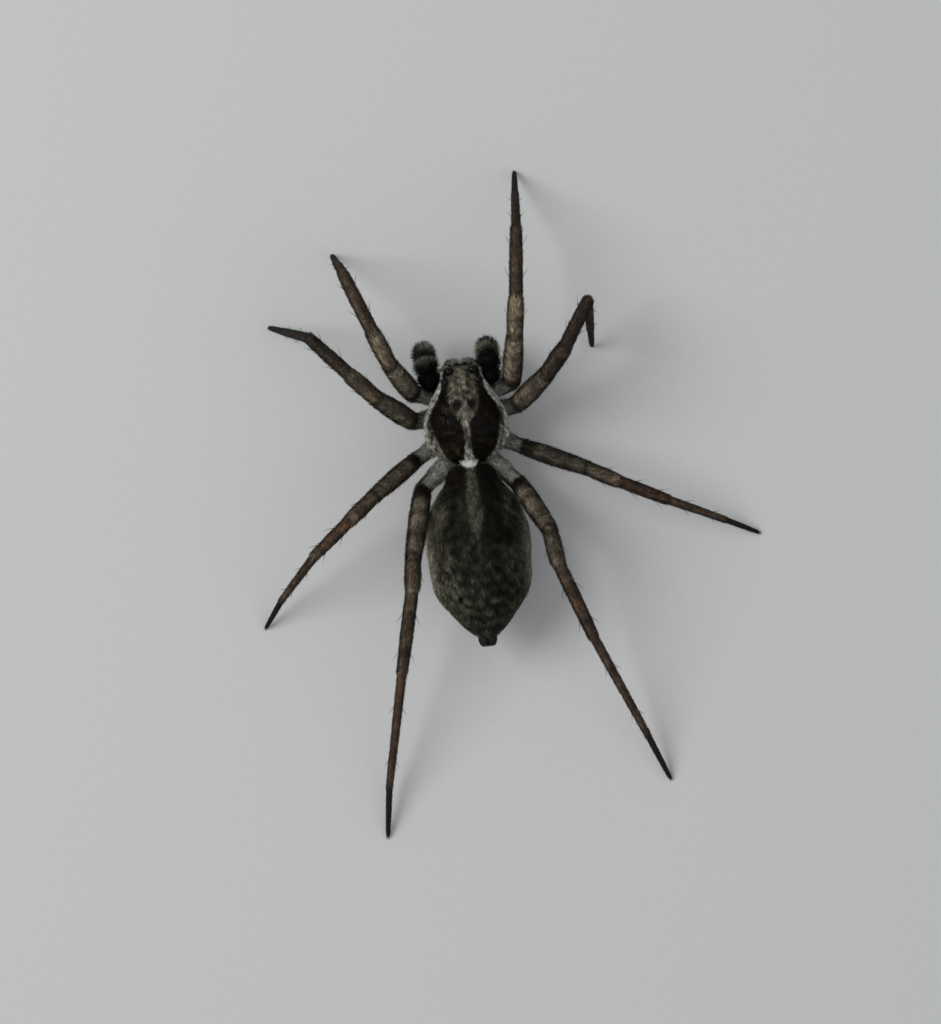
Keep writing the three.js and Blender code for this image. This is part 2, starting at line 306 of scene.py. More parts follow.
def surfaceArea(part):
    # the area of each cell of a fine grid over the part, weighted by how thickly the coat grows there
    s, a = np.meshgrid((np.arange(160) + 0.5) / 160, (np.arange(72) + 0.5) / 72, indexing="ij")
    points, out, _, area = surfaceFrame(part["shape"], s, a)
    if "thick" in part:
        area = area * part["thick"](points, out, s)
    return area / area.size


def sow(part, count, seed):
    # evenly spread roots: a plastic-number series over the unit square, bent by the summed area
    # so that equal areas of the surface take equal numbers
    area = surfaceArea(part)
    rows, columns = area.shape
    n = np.arange(1, count + 1)
    first, second = (0.5 + seed * 0.137 + n / 1.32471796) % 1, (0.5 + seed * 0.291 + n / 1.75487767) % 1
    down = np.concatenate([[0], np.cumsum(area.sum(1))])
    s = np.interp(first * down[-1], down, np.arange(rows + 1) / rows)
    row = np.minimum((s * rows).astype(int), rows - 1)
    ring = np.concatenate([np.zeros((rows, 1)), np.cumsum(area, 1)], 1)
    ring = ring / np.maximum(ring[:, -1:], 1e-12)
    flat = (ring + np.arange(rows)[:, None] * 2).ravel()
    places = (np.arange(columns + 1) / columns + np.arange(rows)[:, None] * 2).ravel()
    a = np.interp(second + row * 2, flat, places) - row * 2
    return s, np.clip(a, 0, 1)


def tufts(part, count, seed):
    # roots on the surface; each tuft leaves it by its lift, sways a little to one side of the lie
    # and bends back towards the surface
    coat = {**plainCoat, **part["coat"]}
    rng = np.random.default_rng(seed)
    s, a = sow(part, count, seed)
    root, out, lie, _ = surfaceFrame(part["shape"], s, a)
    if "combed" in part:
        lie = part["combed"](root)
    sway = np.radians(rng.normal(0, coat["sway"], count))[:, None]
    way = lie * np.cos(sway) + np.cross(out, lie) * np.sin(sway)
    lift = rng.normal(coat["lift"], coat["lift"] * tuft["liftSpread"], count)
    lift = np.radians(np.clip(lift, *tuft["liftLimits"]))[:, None]
    length = coat["length"] * rng.uniform(*tuft["lengths"], count)
    if "long" in part:
        length = length * part["long"](root, out)
    length = length[:, None]
    thick = coat["width"] * rng.uniform(*tuft["widths"], count)[:, None]
    lower, upper = [way * np.cos(lift * bend) + out * np.sin(lift * bend) for bend in tuft["bends"]]
    root = root - out * coat["width"] * tuft["sunk"]
    middle = root + lower * length * 0.5
    tip = middle + upper * length * 0.5
    across = unit(np.cross(out, way))
    depth = np.cross(across, lower)
    rings = []
    for centre, size in zip((root, middle), tuft["rings"]):
        for turn in np.radians(tuft["turns"]):
            rings.append(centre + (across * np.cos(turn) + depth * np.sin(turn)) * thick * size)
    points = np.stack([*rings, tip], 1)
    pale = rng.uniform(size=count) < coat["pale"]
    tone = rng.uniform(1 - coat["vary"], 1 + coat["vary"], count)[:, None]
    colour = part.get("hairTint", part["tint"])(root, out, s, a) * tone
    frosted = colour * tuft["paleTone"] + np.array(tuft["paleFrost"]) * coat["frost"]
    colour = np.where(pale[:, None], frosted, colour)
    # painted shade and light along each tuft: the root darkened as painted shade among the hairs, the tip
    # painted lighter
    middleTone, tipPaintedLight = tuft["paintedRingLight"]
    paintedShadeAndLight = np.array([coat["rootPaintedShade"]] * 3 + [middleTone] * 3 + [tipPaintedLight])
    return points, colour[:, None, :] * paintedShadeAndLight[None, :, None], s, a


def coatObject(name, parts, density, seed, material):
    # each part takes a strip of the unwrap, as wide as its share of the area
    areas = np.array([surfaceArea(part).sum() for part in parts])
    strips = np.concatenate([[0], np.cumsum(areas / areas.sum())])
    total = min(tuft["most"], int(areas.sum() * density * (1)))
    points, colours, faces, places, count = [], [], [[], []], [[], []], 0
    for n, part in enumerate(parts):
        grown = int(total * areas[n] / areas.sum())
        if grown == 0:
            continue
        p, c, s, a = tufts(part, grown, seed * 100 + n)
        home = np.stack([strips[n] + a * (strips[n + 1] - strips[n]), s], -1)
        home = home * (1 - tuft["patch"])
        base = count + np.arange(grown) * tuftPoints
        for k, (corners, spots) in enumerate(zip(tuftFaces, tuftPlaces)):
            number = corners.shape[1]
            faces[k].append((corners[None] + base[:, None, None]).reshape(-1, number))
            places[k].append((spots[None] + home[:, None, None, :]).reshape(-1, number, 2))
        points.append(p.reshape(-1, 3))
        colours.append(c.reshape(-1, 3))
        count += grown * tuftPoints
    print(name, count // tuftPoints, "tufts over", round(float(areas.sum()), 1), "square mm")
    return meshObject(name, points, colours, faces, "OFBake", places, material)


# Materials: each takes the markings from the tint attribute, times a fine variation.

def setValues(node, values):
    for name, value in values.items():
        node.inputs[name].default_value = value


def startMaterial(name, values):
    # values are the constants on the shader's own sockets
    material = bpy.data.materials.new(name)
    material.use_nodes = True
    setValues(material.node_tree.nodes["Principled BSDF"], values)
    return material, material.node_tree


def millimetres(tree):
    # Object coordinates in millimetres
    where = tree.nodes.new("ShaderNodeTexCoord")
    scale = tree.nodes.new("ShaderNodeMapping")
    setValues(scale, {"Scale": (1000, 1000, 1000)})
    tree.links.new(where.outputs["Object"], scale.inputs["Vector"])
    return scale.outputs["Vector"]


def noise(tree, vector, scale, low=0.35, high=0.65, ends=(0.0, 1.0)):
    # noise between low and high, spread over the ends
    made = tree.nodes.new("ShaderNodeTexNoise")
    setValues(made, {"Scale": scale, "Detail": 3.0})
    tree.links.new(vector, made.inputs["Vector"])
    span = tree.nodes.new("ShaderNodeMapRange")
    setValues(span, {"From Min": low, "From Max": high, "To Min": ends[0], "To Max": ends[1]})
    tree.links.new(made.outputs["Fac"], span.inputs["Value"])
    return span.outputs["Result"]


def baseColour(tree, vary, colour=None):
    # the given colour, or else the markings, times the variation
    product = tree.nodes.new("ShaderNodeMix")
    product.data_type = "RGBA"
    product.blend_type = "MULTIPLY"
    product.inputs["Factor"].default_value = 1
    if colour is None:
        tint = tree.nodes.new("ShaderNodeAttribute")
        tint.attribute_name = "tint"
        tree.links.new(tint.outputs["Color"], product.inputs["A"])
    else:
        product.inputs["A"].default_value = (*light(colour), 1)
    tree.links.new(vary, product.inputs["B"])
    tree.links.new(product.outputs["Result"], tree.nodes["Principled BSDF"].inputs["Base Color"])


def bump(tree, height, depth):
    # depth is in millimetres
    made = tree.nodes.new("ShaderNodeBump")
    setValues(made, {"Distance": depth * mm, "Strength": 0.8})
    tree.links.new(height, made.inputs["Height"])
    tree.links.new(made.outputs["Normal"], tree.nodes["Principled BSDF"].inputs["Normal"])


def coatMaterial(name, roughness, sheen):
    # hair: hardly glossy, with a little sheen; its tufts need no bump
    material, tree = startMaterial(name, {
        "Roughness": roughness,
        "Specular IOR Level": 0.1,
        "Sheen Weight": sheen,
        "Sheen Roughness": 0.5,
        "Sheen Tint": (0.8, 0.76, 0.66, 1),
    })
    baseColour(tree, noise(tree, millimetres(tree), 9, ends=(0.75, 1.2)))
    return material


def hideMaterial(name, roughness, gloss, grain, depth):
    # skin under short flat hair: streaks along the lie, from the skin's own map
    material, tree = startMaterial(name, {"Roughness": roughness, "Specular IOR Level": gloss})
    baseColour(tree, noise(tree, millimetres(tree), 14, ends=(0.7, 1.2)))
    lie = tree.nodes.new("ShaderNodeUVMap")
    lie.uv_map = "lie"
    comb = tree.nodes.new("ShaderNodeMapping")
    setValues(comb, {"Scale": (1, 0.18, 1)})
    tree.links.new(lie.outputs["UV"], comb.inputs["Vector"])
    bump(tree, noise(tree, comb.outputs["Vector"], grain, low=0.2, high=0.8), depth)
    return material


def shellMaterial(name, roughness, gloss, coat=0.0, grain=26, depth=0.004):
    # bare shell: faintly pitted, more or less glossy
    material, tree = startMaterial(name, {
        "Roughness": roughness,
        "Specular IOR Level": gloss,
        "Coat Weight": coat,
        "Coat Roughness": 0.12,
    })
    where = millimetres(tree)
    baseColour(tree, noise(tree, where, 11, ends=(0.65, 1.25)))
    bump(tree, noise(tree, where, grain, low=0.2, high=0.8), depth)
    return material


finishes = {
    "skin": hideMaterial("hairySkin", 0.6, 0.3, grain=30, depth=0.008),
    "carapace": shellMaterial("carapaceShell", 0.42, 0.4),
    "sternum": shellMaterial("sternumPlate", 0.45, 0.4),
    "jaw": shellMaterial("jawShell", 0.3, 0.5, coat=0.3, grain=18),
    "fang": shellMaterial("fangHorn", 0.18, 0.6, coat=0.6, grain=40, depth=0.001),
    "claw": shellMaterial("clawHorn", 0.25, 0.5, coat=0.3, grain=50, depth=0.001),
    "eye": shellMaterial("eyeLens", 0.05, 0.15, grain=30, depth=0.0003),
    "shortHair": coatMaterial("shortHair", 0.65, sheen=0.02),
    "darkHair": coatMaterial("darkHair", 0.7, sheen=0.0),
    "spine": shellMaterial("spineHorn", 0.35, 0.4, grain=60, depth=0.001),
}
print("finishes ready")


# Carapace: a high narrow head with steep sides, a lower wide thorax with a fovea and radial grooves.
carapace = {
    # each row: y, half width, top, height of the edge, underside, squareness of the section
    "form": [
        (-2.9, 0.9, 2.6, 1.7, 1.6, 2.2),
        (-2.5, 0.76, 2.64, 1.58, 1.5, 2.1),
        (-1.95, 0.95, 2.66, 1.5, 1.44, 2.1),
        (-1.4, 1.18, 2.6, 1.48, 1.42, 2.1),
        (-0.95, 1.23, 2.52, 1.48, 1.42, 2.05),
        (-0.5, 1.16, 2.34, 1.48, 1.42, 2.0),
        (-0.08, 0.86, 2.0, 1.5, 1.44, 2.0),
    ],
    "ends": (-2.9, -0.08),
    "blunt": 3.4,       # squareness of the ends
    "coat": 0.055,      # depth of the hair, which the skin leaves free inside the form
    # half width of the pale middle band along the body
    "band": [(-2.9, 0.34), (-2.6, 0.39), (-2.31, 0.42), (-2.03, 0.41), (-1.76, 0.38), (-1.52, 0.27),
             (-1.35, 0.17), (-1.21, 0.12), (-0.94, 0.075), (-0.67, 0.085), (-0.39, 0.125), (-0.1, 0.15)],
    "bandColours": [(-2.9, 82, 80, 68), (-2.3, 102, 98, 83), (-1.75, 98, 94, 79), (-1.4, 92, 88, 76),
                    (-0.95, 92, 91, 80), (-0.6, 118, 116, 108), (-0.42, 186, 185, 177),
                    (-0.12, 200, 199, 192)],
    # dark streaks on the head: distance from the middle and strength
    "streaks": [(0.15, 0.7), (0.36, 0.5)],
    "streakColour": (50, 45, 33),
    "wedgeColour": (158, 156, 144),
    "spots": ((0.2, -1.78), 0.175),
    "spotColour": (19, 11, 6),
    # where the grey border and the pale edge line start, out from the middle
    "border": [(-2.9, 0.36), (-2.75, 0.44), (-2.5, 0.51), (-2.25, 0.57), (-2.0, 0.68), (-1.8, 0.78),
               (-1.4, 0.92), (-1.0, 0.88), (-0.75, 0.82), (-0.5, 0.73), (-0.25, 0.5), (-0.08, 0.35)],
    "borderColours": [(-1.9, 104, 99, 88), (-1.2, 138, 134, 123), (-0.8, 158, 155, 145),
                      (-0.3, 168, 165, 156)],
    "edge": [(-2.9, 0.38), (-2.75, 0.46), (-2.5, 0.52), (-2.25, 0.58), (-2.0, 0.69), (-1.85, 0.79),
             (-1.65, 0.93), (-1.4, 1.04), (-1.0, 1.03), (-0.6, 0.92), (-0.3, 0.7), (-0.08, 0.5)],
    "edgeColours": [(-2.9, 226, 226, 218), (-2.0, 228, 228, 219), (-1.4, 212, 210, 200),
                    (-0.9, 192, 190, 180), (-0.3, 170, 167, 157)],
    "rim": (84, 76, 62),
    "dark": (20, 14, 6),
    "rust": (45, 31, 19),
    "olive": (66, 62, 43),
    "ocular": (9, 8, 6),
    "face": (126, 123, 110),
}
# Eyes: radius, distance out from the middle, place along the body and height.
eyes = {
    "front_inner": (0.07, 0.11, -2.87, 1.98),
    "front_outer": (0.055, 0.3, -2.85, 1.95),
    "middle": (0.13, 0.33, -2.69, 2.25),
    "rear": (0.115, 0.46, -2.39, 2.29),
}
eyeColours = ((7, 6, 5), (16, 10, 6))


def trough(points, start, end, width):
    # 1 along the way from start to end in plan, falling as a bell with the distance from it
    start, end = np.array(start), np.array(end)
    here = np.stack([np.abs(points[..., 0]), points[..., 1]], -1)
    t = np.clip(((here - start) @ (end - start)) / ((end - start) @ (end - start)), 0, 1)
    away = np.linalg.norm(here - start - t[..., None] * (end - start), axis=-1)
    return np.exp(-(away / width) ** 2)


# grooves on both sides: start, end, depth and width; first the neck's, last the fovea
grooves = [
    ((0.16, -1.3), (0.78, -2.05), 0.035, 0.09),
    ((0.12, -1.15), (0.92, -1.62), 0.028, 0.07),
    ((0.14, -0.98), (1.06, -1.15), 0.028, 0.07),
    ((0.13, -0.8), (1.02, -0.7), 0.028, 0.07),
    ((0.1, -0.66), (0.78, -0.34), 0.028, 0.07),
    ((0.0, -1.06), (0.0, -0.72), 0.06, 0.035),
]


def fromEye(points, out, y, z):
    # the distance from the middle of the eye on the same side
    here = np.stack([np.abs(points[..., 0]), points[..., 1], points[..., 2]], -1)
    return np.linalg.norm(here - [out, y, z], axis=-1)


def carapaceRelief(points):
    # the grooves sink in, and a collar rises round each eye
    above = smooth(points[..., 2], 1.6, 2.0)
    relief = 0
    for start, end, depth, width in grooves:
        relief = relief - depth * trough(points, start, end, width) * above
    for radius, *place in eyes.values():
        away = fromEye(points, *place)
        relief = relief + radius * 0.12 * np.exp(-((away - radius * 1.1) / (radius * 0.4)) ** 2)
    return relief


def carapaceTint(points, out, s, a):
    # in order: dark fields, middle band, head streaks, wedge, spots, border, edge, face and eye rings
    x, y, z = np.moveaxis(points, -1, 0)
    away = np.abs(x)
    top = smooth(out[..., 2], 0.05, 0.35)
    # rust mottle, painted stronger on the left side (+x) as painted light
    rusty = smooth(mottle(points, 9, 5), -0.1, 0.7) * (0.36 + 0.24 * smooth(x, -0.3, 0.3))
    colour = mix(np.broadcast_to(carapace["dark"], points.shape), carapace["rust"], rusty)
    # olive mottle on the thorax, painted on the left side only as painted light
    litSideOlive = smooth(x, 0.05, 0.3) * (1 - smooth(x, 0.55, 0.8)) * smooth(y, -1.3, -1.0)
    colour = mix(colour, carapace["olive"], litSideOlive * smooth(mottle(points, 7, 14), -0.5, 0.5) * 0.6)
    black = np.array(carapace["dark"]) * 0.3
    colour = mix(colour, black, smooth(mottle(points, 15, 6), -0.1, 0.5) * 0.8)
    half = follow(carapace["band"], y)[0] + 0.02 * mottle(points, 16, 7)
    band = (1 - smooth(away, half - 0.03, half + 0.02)) * top
    cloudy = 1 + 0.12 * mottle(points, 20, 8)[..., None]
    colour = mix(colour, shades(carapace["bandColours"], y) * cloudy, band)
    for place, strength in carapace["streaks"]:
        streak = line(away, place, 0.07) * smooth(y, -2.75, -2.6) * (1 - smooth(y, -2.15, -1.9))
        colour = mix(colour, carapace["streakColour"], streak * strength * top)
    wedge = line(away, 0.0, 0.13 - 0.03 * smooth(y, -1.7, -1.3))
    wedge = wedge * smooth(y, -1.95, -1.62) * (1 - smooth(y, -1.3, -0.95))
    colour = mix(colour, carapace["wedgeColour"], wedge * 0.85 * top)
    colour = mix(colour, carapace["spotColour"], spot(away, y, *carapace["spots"]) * 0.98 * top)
    start = follow(carapace["border"], y)[0] + 0.03 * mottle(points, 8, 9)
    full = 0.6 + 0.4 * smooth(mottle(points, 9, 10), -1.1, 0.1)
    border = smooth(away, start - 0.04, start + 0.05) * full
    colour = mix(colour, shades(carapace["borderColours"], y), border * 0.85)
    start = follow(carapace["edge"], y)[0] + 0.02 * mottle(points, 8, 13)
    worn = 1 - smooth(y, -1.2, -0.5) * smooth(mottle(points, 6, 10), -0.5, 0.5) * 0.5
    edge = smooth(away, start - 0.03, start + 0.03)
    colour = mix(colour, shades(carapace["edgeColours"], y), edge * worn * 0.95)
    low = 1.62 - 0.1 * smooth(y, -2.2, -1.6)
    colour = mix(colour, carapace["rim"], edge * (1 - smooth(z, low - 0.07, low + 0.07)) * 0.85)
    front = smooth(-out[..., 1], 0.35, 0.75) * (1 - smooth(z, 1.85, 2.0))
    colour = mix(colour, carapace["face"], front * 0.85)
    ringed = spot(away, y, eyes["rear"][1:3], 0.14)
    ringed = np.maximum(ringed, spot(away, y, eyes["middle"][1:3], 0.2) * smooth(away, 0.08, 0.18))
    colour = mix(colour, carapace["ocular"], ringed * smooth(z, 1.9, 2.05) * 0.95)
    return colour * (1 + 0.42 * mottle(points, 38, 12))[..., None]


def headThickness(points, out, s):
    # no coat on the hidden underside, nor on the eyes
    grown = smooth(points[..., 2], 1.42, 1.5)
    for radius, *place in eyes.values():
        grown = grown * smooth(fromEye(points, *place), radius * 1.12, radius * 1.3)
    return grown


def headLength(points, out):
    # shorter between the eyes, longer on the face
    _, y, z = np.moveaxis(points, -1, 0)
    short = 1 - 0.35 * smooth(-y, 2.0, 2.4)
    return short + smooth(-out[..., 1], 0.5, 0.8) * (1 - smooth(z, 1.85, 2.0))


carapacePart = {
    "shape": embossed(trunkForm(carapace), carapaceRelief),
    "tint": carapaceTint,
    "thick": headThickness,
    "long": headLength,
    "grid": (120, 120),
    "coat": {"length": 0.12, "width": 0.014, "lift": 20, "sway": 16, "pale": 0.07, "frost": 0.5,
             "vary": 0.5},
}

# A tuft of white hair lies over the waist at the rear of the middle band.
waistTuft = {
    "middle": 0.02,     # a little to the left
    "half": 0.36,       # half width where it starts
    "start": -0.27,     # along the body
    "colour": (250, 250, 244),
    "rise": 0.75,       # of its hairs, for each length along the body
    "fan": -2.4,        # how far its hairs spread sideways with their distance from the middle
    # its roots take only a little painted shade
    "coat": {"length": 0.32, "width": 0.018, "lift": 9, "sway": 12, "pale": 0.0, "vary": 0.08,
             "rootPaintedShade": 0.95},
}


def waistThickness(points, out, s):
    # a patch on top that narrows towards the rear
    x, y, z = np.moveaxis(points, -1, 0)
    along = y - waistTuft["start"]
    half = waistTuft["half"] * (1 - 1.8 * np.clip(along, 0, 0.4))
    return line(x, waistTuft["middle"], half) * smooth(along, 0, 0.12) * smooth(z, 1.6, 1.8)


def waistComb(root):
    # backwards and up, fanned from the middle
    x = root[..., 0]
    return unit(np.stack([waistTuft["fan"] * x, np.ones_like(x), np.full_like(x, waistTuft["rise"])], -1))


waistPart = {
    "shape": carapacePart["shape"],
    "tint": lambda points, out, s, a: np.broadcast_to(waistTuft["colour"], points.shape),
    "thick": waistThickness,
    "combed": waistComb,
    "coat": waistTuft["coat"],
}

# Sternum: the heart-shaped plate between the legs.
sternum = {
    # rows as for the carapace
    "form": [
        (-2.3, 0.3, 1.36, 1.2, 0.98, 2.4),
        (-1.6, 0.4, 1.36, 1.15, 0.84, 2.4),
        (-1.0, 0.38, 1.36, 1.15, 0.82, 2.4),
        (-0.3, 0.14, 1.36, 1.2, 1.0, 2.4),
    ],
    "ends": (-2.3, -0.3),
    "blunt": 2.4,
    "coat": 0.04,
    "colour": (52, 44, 34),
    "middle": (28, 22, 16),
    "pale": (96, 92, 80),
}


def sternumTint(points, out, s, a):
    # dark along the middle, pale in patches
    colour = np.broadcast_to(sternum["colour"], points.shape)
    colour = mix(colour, sternum["middle"], line(points[..., 0], 0, 0.16) * 0.6)
    return mix(colour, sternum["pale"], smooth(mottle(points, 9, 21), 0.0, 0.8) * 0.5)


sternumPart = {
    "shape": trunkForm(sternum),
    "tint": sternumTint,
    "thick": lambda points, out, s: smooth(-out[..., 2], -0.1, 0.2),
    "grid": (48, 48),
    "coat": {"length": 0.13, "width": 0.014, "lift": 32, "sway": 20, "pale": 0.25},
}

# Abdomen: an egg that is widest behind its middle, its tip at the spinnerets.
abdomen = {
    # rows as for the carapace
    "form": [
        (-0.12, 1.85, 2.7, 1.66, 0.78, 2.0),
        (0.3, 1.3, 2.8, 1.66, 0.66, 2.0),
        (0.9, 1.4, 2.92, 1.68, 0.58, 2.0),
        (1.6, 1.49, 3.0, 1.72, 0.54, 2.0),
        (2.7, 1.45, 3.02, 1.75, 0.5, 2.0),
        (3.6, 1.47, 2.94, 1.72, 0.5, 2.0),
        (4.2, 1.25, 2.76, 1.65, 0.62, 2.0),
        (4.8, 1.12, 2.5, 1.6, 0.75, 2.0),
    ],
    "ends": (-0.12, 4.8),
    "blunt": 2.0,
    "coat": 0.045,
    "frontCoat": 0.02,
    "top": (99, 97, 80),
    "dark": (16, 15, 9),
    "rear": (76, 74, 62),
    "brown": (21, 15, 9),
    "moss": (74, 72, 58),
    "haze": (84, 82, 70),
    # half width of the heart mark along the body
    "heart": [(-0.1, 0.1), (0.25, 0.14), (0.5, 0.16), (1.0, 0.2), (1.3, 0.2), (1.65, 0.15), (1.9, 0.08),
              (2.1, 0.02)],
    "heartColour": (87, 86, 74),
    # dark fields beside the heart mark: their outer edge along the body
    "field": [(-0.1, 0.5), (0.4, 0.72), (0.9, 0.86), (1.6, 0.9), (2.4, 0.8), (3.2, 0.6), (3.8, 0.4)],
    # dark flecks on each side: place along the body, distance from the middle
    "flecks": {
        "left": [(0.62, 0.42), (1.05, 0.56), (1.41, 0.64), (1.85, 0.6), (2.26, 0.7), (2.79, 0.71),
                 (3.57, 0.65)],
        "right": [(0.62, 0.42), (1.19, 0.41), (1.69, 0.48), (2.07, 0.58), (2.79, 0.43), (3.45, 0.44),
                  (4.0, 0.34)],
    },
    # place along the body, slant and strength
    "chevrons": [(2.3, 0.3, 0.4), (2.72, 0.3, 0.4), (3.12, 0.25, 0.45), (3.44, 0.2, 0.5), (3.72, 0.1, 0.8),
                 (4.01, 0.08, 0.85), (4.29, 0.05, 0.8)],
    "chevronColour": (80, 79, 67),
    # colour of each flank, and the share of the half width over which it fades in; the flanks are pale, and
    # the left one is painted lighter than the right as painted light
    "flanks": {"left": ((172, 167, 149), 0.7, 0.91), "right": ((136, 132, 116), 0.72, 0.93)},
    "belly": (96, 91, 78),
    "bellyLines": (58, 54, 44),
}


def abdomenTint(points, out, s, a):
    # in order: ground, dark fields, heart mark, chevrons, flecks, front, mottle, flanks and belly
    x, y, _ = np.moveaxis(points, -1, 0)
    away, top = np.abs(x), smooth(out[..., 2], 0.3, 0.6)
    cloud, fine = mottle(points, 6, 31), mottle(points, 19, 32)
    dark = np.array(abdomen["dark"], float)
    # painted shade: the ground colour is darker towards the right side (-x)
    colour = abdomen["top"] * (1 - 0.32 * smooth(-x, 0.0, 0.4))[..., None]
    colour = mix(colour, dark, smooth(cloud, -0.1, 0.9) * 0.3)
    colour = mix(colour, abdomen["rear"], smooth(y, 3.4, 4.2) * 0.6)
    edge = follow(abdomen["field"], y)[0] + 0.14 * cloud
    field = (1 - smooth(away, edge - 0.22, edge + 0.22)) * (1 - smooth(y, 1.6, 3.6) * 0.55)
    # the dark fields, painted darker still on the right side as painted shade
    colour = mix(colour, dark, field * (0.8 + 0.15 * smooth(-x, 0, 0.5)) * top)
    # olive mottle in the fields, painted mostly on the left side as painted light
    colour = mix(colour, abdomen["moss"], field * smooth(fine, 0.25, 0.75) * 0.6 * smooth(x, -0.7, 0.3))
    half = follow(abdomen["heart"], y)[0] + 0.02 * fine
    heart = (1 - smooth(away, half - 0.06, half + 0.04)) * 0.9 * top
    colour = mix(colour, abdomen["heartColour"], heart)
    for place, slant, strength in abdomen["chevrons"]:
        along = y + slant * away + 0.03 * mottle(points, 9, 35)
        wing = line(along, place, 0.085) * (1 - smooth(away, 0.35, 0.75))
        colour = mix(colour, abdomen["chevronColour"], wing * strength * 0.8 * top)
        shadow = line(along, place + 0.15, 0.09) * (1 - smooth(away, 0.4, 0.85))
        colour = mix(colour, dark, shadow * strength * 0.8)
    for side, flecks in abdomen["flecks"].items():
        for along, place in flecks:
            fleck = spot(sides[side] * x, y, (place, along), 0.12)
            colour = mix(colour, dark * 0.2, fleck * 0.95 * top)
    front = (1 - smooth(y, 0.25, 0.75)) * smooth(away, 0.12, 0.26)
    colour = mix(colour, abdomen["brown"], front * 0.85)
    inHeart = (1 - smooth(away, half - 0.04, half + 0.04)) * (1 - smooth(y, 1.6, 2.2))
    colour = mix(colour, dark * 0.5, smooth(fine, 0.15, 0.6) * (0.48 - 0.36 * inHeart) * top)
    colour = mix(colour, abdomen["haze"], smooth(-fine, 0.3, 0.75) * 0.3 * (1 - 0.7 * front))
    colour = colour * (1 + 0.26 * mottle(points, 28, 34) + 0.24 * mottle(points, 50, 36))[..., None]
    share = away / follow([row[:2] for row in abdomen["form"]], y)[0]
    for side, (flank, start, end) in abdomen["flanks"].items():
        low = 1 - smooth(out[..., 2], 0.1, 0.35)
        outer = np.maximum(smooth(share + 0.02 * cloud, start, end), low) * (sides[side] * x > 0)
        paler = flank * (1 + 0.12 * mottle(points, 13, 33)[..., None])
        colour = mix(colour, paler, outer * smooth(y, 0.45, 0.95) * (1 - smooth(y, 3.1, 4.0) * 0.85))
    belly = smooth(-out[..., 2], 0.2, 0.7)
    colour = mix(colour, abdomen["belly"], belly * 0.9)
    return mix(colour, abdomen["bellyLines"], belly * line(away, 0.4, 0.14) * smooth(y, 0.8, 1.2) * 0.5)


abdomenPart = {
    "shape": trunkForm(abdomen),
    "tint": abdomenTint,
    "grid": (150, 120),
    "coat": {"length": 0.15, "width": 0.015, "lift": 18, "sway": 20, "pale": 0.06, "frost": 0.25,
             "vary": 0.34},
}
upperAbdomen = dict(abdomenPart, thick=lambda points, out, s: smooth(out[..., 2], -0.06, 0.06))
lowerAbdomen = dict(abdomenPart, thick=lambda points, out, s: 1 - smooth(out[..., 2], -0.06, 0.06))


def plainTint(colour, other, fineness=10):
    # one colour with another in patches
    def tint(points, out, s, a):
        patches = smooth(mottle(points, fineness, 41), -0.4, 0.8) * 0.7
        return mix(np.broadcast_to(colour, points.shape), other, patches)

    return tint


# Stalk: the thin waist between the carapace and the abdomen.
stalk = {
    "form": ((0, -0.3, 1.45), (0, 0.5, 1.5), (0.15, 0.16, 0.18)),
    "colours": ((60, 52, 40), (34, 28, 20)),
}
stalkPart = {
    "shape": limbForm(*stalk["form"], cap=0.5),
    "tint": plainTint(*stalk["colours"]),
    "grid": (16, 24),
}

# Spinnerets: a hairy ring and three pairs of short fingers behind it, with slightly paler tips.
spinnerets = {
    "root": (0.0, 4.5, 1.5),
    "ringRadii": (0.25, 0.28, 0.25),
    "ringLength": 0.26,
    "ringCoat": {"length": 0.13, "width": 0.013, "lift": 22, "sway": 18},
    "fingerStart": 0.16,
    # distance out and up, length and radius
    "fingers": [(0.125, -0.08, 0.2, 0.12), (0.115, 0.08, 0.22, 0.12), (0.03, 0.02, 0.24, 0.1)],
    "fingerCoat": {"length": 0.07, "width": 0.01, "lift": 18, "sway": 14},
    "colour": (28, 26, 20),
    "dark": (20, 18, 14),
    "tips": (34, 31, 25),
}


def fingerTint(points, out, s, a):
    tipped = smooth(s, 0.6, 0.9) * 0.6
    return mix(np.broadcast_to(spinnerets["colour"], points.shape), spinnerets["tips"], tipped)


def spinneretParts():
    x, y, z = spinnerets["root"]
    ringEnd = (x, y + spinnerets["ringLength"], z)
    parts = [{
        "shape": limbForm(spinnerets["root"], ringEnd, spinnerets["ringRadii"], cap=0.5),
        "tint": plainTint(spinnerets["colour"], spinnerets["dark"]),
        "grid": (14, 28),
        "coat": spinnerets["ringCoat"],
    }]
    y = y + spinnerets["fingerStart"]
    for side in sides.values():
        for out, up, length, radius in spinnerets["fingers"]:
            start, end = (side * out, y, z + up), (side * out, y + length + radius, z + up)
            parts.append({
                "shape": limbForm(start, end, (radius, radius * 1.05, radius * 0.7), cap=0.6),
                "tint": fingerTint,
                "grid": (14, 16),
                "coat": spinnerets["fingerCoat"],
            })
    return parts


